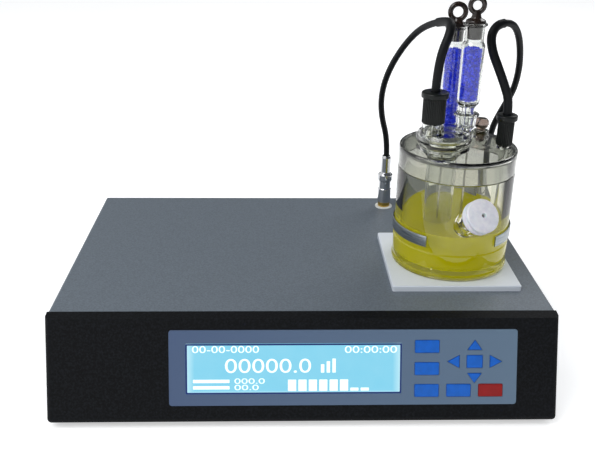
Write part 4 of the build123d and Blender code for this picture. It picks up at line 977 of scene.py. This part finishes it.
class TITRATOR_OT_lid(bpy.types.Operator):
    """Build the glass lid with its four necks"""
    bl_idname = "titrator.lid"
    bl_label = "Lid"

    def execute(self, context):
        under = LID_TOP - GLASS
        skirt = JOINT_R + 0.1
        lid = turned([(skirt, under, 1.6), (skirt, SEAM + 0.05), (CELL_R, SEAM + 0.05, 0.5),
            (CELL_R, LID_TOP, 1.2)], CELL, steps=128)
        steps = []
        # Each neck's axis, radius and top
        for place, radius, top in ((CHAMBER, 17.6, NECK_TOP), (REAR_TUBE, 7.2, NECK_TOP),
                (VENT, 5.6, NECK_TOP), (ELECTRODE, 4.5, LID_TOP + 2)):
            base = LID_TOP - 1
            steps.append(("UNION", turned([(radius + 1.6, base), (radius + 0.9, LID_TOP + 0.3, 0.6),
                (radius, LID_TOP + 1.6, 1.2), (radius, top, 0.6)], place)))
        # The bores, of which the rear tube's is a cone
        for place, radius in ((CHAMBER, 15.0), (VENT, 3.8), (ELECTRODE, 3.1)):
            steps.append(("DIFFERENCE", rod(radius, under - 2, 94, place)))
        steps.append(("DIFFERENCE", rod(4.5, 82.2, 93, REAR_TUBE, upper=5.3)))
        # Painted shade: the lid's glass is tinted darker than the vessel's, though both are one glass
        look = glass_tinted("Borosilicate lid glass", shade(glass().cell_tint, 0.72))
        piece("glass_lid", combine(lid, *steps), look, nodes=["cell_lid"])
        return {"FINISHED"}


class TITRATOR_OT_chamber(bpy.types.Operator):
    """Build the cathode chamber: bell, inner tube, socket, diaphragm and electrodes"""
    bl_idname = "titrator.chamber"
    bl_label = "Cathode chamber"

    def execute(self, context):
        inner, plug = 9.0, 14.9
        bell = turned([(inner, 89), (inner, 15.05), (10.6, 15.05, 0.6), (10.6, 79, 2.0),
            (plug - 1, 82.5, 1.0), (plug, BELL_FOOT), (19.4, BELL_FOOT, 0.8), (19.4, 97, 2.5),
            (17.4, 99.8, 2.5), (13.4, BELL_TOP, 2.5)], CHAMBER)
        hollow = lathe([(0, 88), (inner, 88), (15.4, 94, 1.0), (17.4, 96, 1.0), (15.4, 98.6, 1.0), (0, 99)],
            CHAMBER)
        stump = turned([(8.4, 99.4), (7.9, 101.6, 0.8), (7.4, 103, 0.8), (7.4, 106.6)], GENERATOR)
        top = BELL_TOP + 12
        cup = turned([(4, 98), (5, 102, 1.0), (6.6, 104, 1.0), (7.2, top - 2.4, 0.6), (8.7, top - 1.6, 0.7),
            (8.7, top - 0.2, 0.7), (7.4, top, 0.4)], FRONT_TUBE)
        shell = combine(bell, ("DIFFERENCE", hollow), ("UNION", stump), ("UNION", cup),
            ("DIFFERENCE", rod(5.6, 97, 108, GENERATOR)), ("DIFFERENCE", rod(2.2, 96, 104, FRONT_TUBE)),
            ("DIFFERENCE", rod(4.43, 103.9, 115, FRONT_TUBE, upper=5.2)))
        look = glass_tinted("Borosilicate chamber glass", glass().clear_tint)
        piece("glass_chamber", shell, look, nodes=["cathode_chamber"])
        # Chalky white and rough
        frit = plain("Sintered glass disc", "#E8E8E2", 0.75, grain=0.0006, spread=0.08, bump=0.4)
        piece("sintered_disc", rod(8.9, 15, 17.5, CHAMBER, edge=0.2), frit, nodes=["diaphragm"])
        # Bright silvery metal
        dress(plain("Bright platinum", "#C9C7C2", 0.2, grain=0.002, Metallic=1.0), "platinum_electrodes")
        return {"FINISHED"}


# Drying tubes in millimetres: axis, foot, length, foot of the tip, and the ring's radius, wire and stem
TUBES = {"front": (FRONT_TUBE, 118.0, 44.0, 105.0, (4.6, 1.65, 6.6)), "rear": (REAR_TUBE, 93.6, 61.5, 82.2,
    (5.3, 1.8, 4.0))}
TUBE_R, TUBE_WALL, TUBE_NECK_R, TUBE_RIM_R, TUBE_NECK_H = 7.8, 1.3, 6.4, 8.0, 12.0


class TITRATOR_OT_tubes(bpy.types.Operator):
    """Build the two drying tubes, their beads and their ring stoppers"""
    bl_idname = "titrator.tubes"
    bl_label = "Drying tubes"

    def execute(self, context):
        clear = glass_tinted("Borosilicate tube glass", glass().clear_tint)
        gel = bead_gel()
        brown = self.stopper_glass()
        beads = bead_tree()
        for name, (place, foot, long, tip, handle) in TUBES.items():
            self.tube(name, clear, place, foot, long, tip)
            self.column(name, beads, gel, place, foot, long)
            self.stopper(name, brown, place, foot, long, handle)
        return {"FINISHED"}

    def stopper_glass(self):
        """Dark brown glass, nearly black where it is thick."""
        return mottled("Brown stopper glass", linear("#1D1512"), linear("#33261F"), 0.006, Roughness=0.08,
            Transmission_Weight=0.35, IOR=1.5)[0]

    def tube(self, name, look, place, foot, long, tip):
        """A hollow ground tip, a straight body, a narrower neck and a beaded rim."""
        top = foot + long
        rim = top + TUBE_NECK_H
        bore, neck = TUBE_R - TUBE_WALL, TUBE_NECK_R - TUBE_WALL
        tip_top = 4.4 + 0.07 * (foot - tip)
        outline = [(1.4, tip, 0.3), (4.4, tip, 0.4), (tip_top, foot - 0.6, 0.5), (TUBE_R - 2, foot, 1.0),
            (TUBE_R, foot + 2.5, 2.0), (TUBE_R, top - 2.5, 3.0), (TUBE_NECK_R, top, 1.5),
            (TUBE_NECK_R, rim - 2, 0.8), (TUBE_RIM_R, rim - 1.6, 0.7), (TUBE_RIM_R, rim, 0.7),
            (neck + 0.4, rim, 0.4), (neck, top, 1.0), (bore, top - 2.8, 2.5), (bore, foot + 3, 2.0),
            (bore - 3, foot + 1.4, 1.0), (1.4, foot + 1, 0.4)]
        piece(name + "_tube_glass", lathe(outline, place, fine=6), look, name + "_tube", [name + "_tube"])

    def column(self, name, tree, look, place, foot, long):
        """A core with beads packed against it, up to the wall."""
        radius = glass().bead_radius / MM
        inside = TUBE_R - TUBE_WALL - 0.15 - radius
        low, high = foot + 3.4 + radius, foot + long - 4 - radius
        shell = turned([(inside, low, 1.2), (inside, high, 0.8)], place, steps=32, fine=3)
        made = piece(name + "_beads", shell, look, name + "_tube", [name + "_gel"])
        grown(made, tree, {"Radius": glass().bead_radius, "Spacing": glass().bead_spacing,
            "Seed": glass().seed, "Material": look})

    def stopper(self, name, look, place, foot, long, handle):
        """A ground plug with a shoulder, a stem and a ring."""
        ring_r, wire, stem = handle
        top = foot + long
        rim = top + TUBE_NECK_H
        inside = TUBE_NECK_R - TUBE_WALL - 0.1
        plug = turned([(inside, top + 1.5, 0.8), (inside + 0.35, rim), (TUBE_RIM_R - 1.2, rim + 0.2, 0.4),
            (TUBE_RIM_R - 1.6, rim + 1.8, 0.8), (3.4, rim + 3.2, 1.5), (2.4, rim + stem + 1.0)], place,
            steps=64)
        raised = place @ Matrix.Translation((0, 0, (rim + stem + ring_r) * MM))
        lift = raised @ Matrix.Rotation(math.pi / 2, 4, "X")
        shell = combine(plug, ("UNION", ring(ring_r, wire, lift)))
        piece(name + "_ring_stopper", shell, look, name + "_stopper", [name + "_stopper"])


class TITRATOR_OT_caps(bpy.types.Operator):
    """Build the black ribbed electrode caps and the measuring electrode"""
    bl_idname = "titrator.caps"
    bl_label = "Electrode caps"

    def execute(self, context):
        # Dense black with a low sheen on each rib
        look = mottled("Black phenolic cap", linear("#060908"), linear("#121716"), 0.002, bump=0.12,
            Roughness=0.36, Specular_IOR_Level=0.28)[0]
        ribs = rib_tree()
        # Axis, foot, radius, radius of the flange and number of ribs
        for name, place, low, radius, flange, count in (("generator", GENERATOR, 106.6, 8.0, 9.4, 36),
                ("detector", ELECTRODE, 89.8, 5.7, 7.3, 28)):
            top = low + 22.0
            outline = [(radius - 0.35, low, 0.4), (radius - 0.6, top - 4.2), (flange, top - 4, 0.5),
                (flange, top - 0.6, 0.9), (flange - 1.2, top, 0.5), (3.6, top, 0.3), (3.2, top - 0.8),
                (3.2, top - 3)]
            made = piece(name + "_ribbed_cap", turned(outline, place), look, ROOT, [name + "_cap"])
            centre = place @ Vector((0, 0, (low + 9.0) * MM))
            grown(made, ribs, {"Radius": (radius - 0.42) * MM, "Height": 17.0 * MM, "Count": count,
                "Rib radius": 0.4 * MM, "Centre": tuple(centre), "Material": look})
        clear = glass_tinted("Borosilicate rod glass", glass().clear_tint)
        stem = turned([(2, 18, 0.8), (3, 20, 1.0), (3, 100)], ELECTRODE, steps=48)
        pins = [turned([(0.5, 11, 0.2), (0.5, 19)], ELECTRODE @ Matrix.Translation((0, y * MM, 0)),
            steps=16) for y in (-1.2, 1.2)]
        piece("electrode_rod", [stem] + pins, clear, ROOT, ["measuring_electrode"])
        return {"FINISHED"}


class TITRATOR_OT_port(bpy.types.Operator):
    """Build the white screw cap of the side arm, with its needle hole and septum"""
    bl_idname = "titrator.port"
    bl_label = "Port cap"

    def execute(self, context):
        # Waxy white with a faint lilac shade
        white = mottled("Turned PTFE", linear("#E4E4EE"), linear("#F3F3F8"), 0.004, bump=0.05,
            Roughness=0.4, Subsurface_Weight=0.15, Subsurface_Scale=0.002)[0]
        outline = [(1.5, -3), (1.5, 0, 0.25), (2.6, 0.0, 0.3), (11.0, -0.6, 0.8), (11.8, -1.2, 0.6),
            (11.8, -3, 0.5), (10.0, -3.2, 0.4), (10.0, -6.0, 0.4), (11.8, -6.2, 0.5), (11.8, -8.5, 0.6),
            (7.3, -8.5, 0.4), (7.3, -3)]
        piece("white_port_cap", lathe(outline, ARM), white, "port_cap", ["port_cap"])
        # Matt red-brown behind the needle hole
        rubber = plain("Silicone septum", "#6B4A3A", 0.6, grain=0.002)
        piece("septum_disc", rod(7.1, -5.2, -3.05, ARM, 48, edge=0.2), rubber, "port_septum",
            ["port_septum"])
        return {"FINISHED"}


class TITRATOR_OT_vent(bpy.types.Operator):
    """Build the rounded glass stopper behind the right cap"""
    bl_idname = "titrator.vent"
    bl_label = "Vent stopper"

    def execute(self, context):
        top = NECK_TOP
        # Cloudy brown-grey that stays clear at its edges
        look = glass_tinted("Brown-grey stopper glass", linear("#85756C"))
        outline = [(0, top - 10), (3.3, top - 10, 0.6), (3.7, top + 0.2), (3.0, top + 1.2, 0.6),
            (4.6, top + 2.4, 1.5), (5.4, top + 4.4, 2.0), (5.2, top + 6.8, 2.0), (3.8, top + 8.6, 2.0),
            (0, top + 9.2)]
        piece("vent_knob", lathe(outline, VENT, steps=64), look, "vent_stopper", ["vent_stopper"])
        return {"FINISHED"}


class TITRATOR_OT_plugs(bpy.types.Operator):
    """Build the chrome plugs, brass sockets and white washers"""
    bl_idname = "titrator.plugs"
    bl_label = "Plugs and sockets"

    def execute(self, context):
        # Mirror-like, with dark and bright streaks
        chrome = plated("Bright chrome plate", "#BFC1C4", 0.08)
        # Warm yellow metal
        brass = plated("Turned brass", "#C9A650", 0.2)
        # Soft white round the brass
        nylon = plain("White nylon washer", "#E3E7E6", 0.45, grain=0.004, spread=0.02)
        sockets, washers = [], []
        for name in ("generator", "detector"):
            mid = middle(name + "_plug")
            place = Matrix.Translation((mid.x, mid.y, COVER_Z))
            outline = [(5.6, 5.2, 0.4), (5.6, 17.2, 0.4), (5.1, 17.8), (5.1, 24.2), (5.6, 24.8, 0.3),
                (6.2, 25.2, 0.5), (6.2, 30.2, 0.8), (5.2, 31.2, 0.5), (4.0, 32.2, 0.8), (4.0, 45, 0.5),
                (3.4, 47, 0.5), (2.5, 47), (2.5, 43)]
            piece(name + "_chrome_plug", turned(outline, place), chrome, ROOT, [name + "_plug"])
            sockets.append(turned([(1.5, -16), (1.5, -7.4), (4.6, -7.4), (4.6, -4.0), (7, -4.0), (7, -1.4),
                (4.6, -1.4), (4.6, 1.2), (5.2, 1.2, 0.3), (5.2, 5.2)], place, steps=48))
            washers.append(lathe([(4.7, 0.01, 0.2), (7.4, 0.01, 0.2), (7.4, 1.2, 0.4), (4.7, 1.2, 0.2)],
                place, steps=64))
        piece("brass_sockets", sockets, brass, ROOT, ["electrode_sockets"])
        piece("white_washers", washers, nylon, ROOT, ["socket_washers"])
        return {"FINISHED"}


class TITRATOR_OT_bar(bpy.types.Operator):
    """Build the stirring bar"""
    bl_idname = "titrator.bar"
    bl_label = "Stirring bar"

    def execute(self, context):
        # Waxy white
        look = plain("PTFE-coated bar", "#EDEDEA", 0.35, grain=0.003, spread=0.03)
        half, radius = 11.0, 2.8
        place = Matrix.Translation(middle("stir_bar")) @ Matrix.Rotation(math.pi / 2, 4, "Y")
        outline = [(radius, -half, 2.5), (radius, -1.2), (radius, 0), (radius, 1.2), (radius, half, 2.5)]
        piece("coated_bar", turned(outline, place, steps=48, fine=8), look, "stir_bar", ["stir_bar"])
        return {"FINISHED"}


OPERATORS = (TITRATOR_OT_stage, TITRATOR_OT_leads, TITRATOR_OT_casing, TITRATOR_OT_inside, TITRATOR_OT_rear,
    TITRATOR_OT_keys, TITRATOR_OT_panel, TITRATOR_OT_plate, TITRATOR_OT_vessel, TITRATOR_OT_reagent,
    TITRATOR_OT_lid, TITRATOR_OT_chamber, TITRATOR_OT_tubes, TITRATOR_OT_caps, TITRATOR_OT_port,
    TITRATOR_OT_vent, TITRATOR_OT_plugs, TITRATOR_OT_bar)


class TITRATOR_PT_pieces(bpy.types.Panel):
    """The titrator's pieces, in the sidebar"""
    bl_idname = "TITRATOR_PT_pieces"
    bl_label = "Titrator"
    bl_space_type = "VIEW_3D"
    bl_region_type = "UI"
    bl_category = "Titrator"

    def draw(self, context):
        for group in (context.scene.titrator_finish, context.scene.titrator_glass,
                context.scene.titrator_stage):
            for name in group.__annotations__:
                self.layout.prop(group, name)
        for kind in OPERATORS:
            self.layout.operator(kind.bl_idname)


GROUPS = {"titrator_finish": TitratorFinish, "titrator_glass": TitratorGlass,
    "titrator_stage": TitratorStage}
CLASSES = (*GROUPS.values(), *OPERATORS, TITRATOR_PT_pieces)


def register():
    for kind in CLASSES:
        bpy.utils.register_class(kind)
    for name, kind in GROUPS.items():
        setattr(bpy.types.Scene, name, PointerProperty(type=kind))


def unregister():
    for name in GROUPS:
        delattr(bpy.types.Scene, name)
    for kind in reversed(CLASSES):
        bpy.utils.unregister_class(kind)


def main():
    """Build everything in order."""
    register()
    for kind in OPERATORS:
        name = kind.bl_idname.split(".")[1]
        getattr(bpy.ops.titrator, name)()


if __name__ == "__main__":
    main()
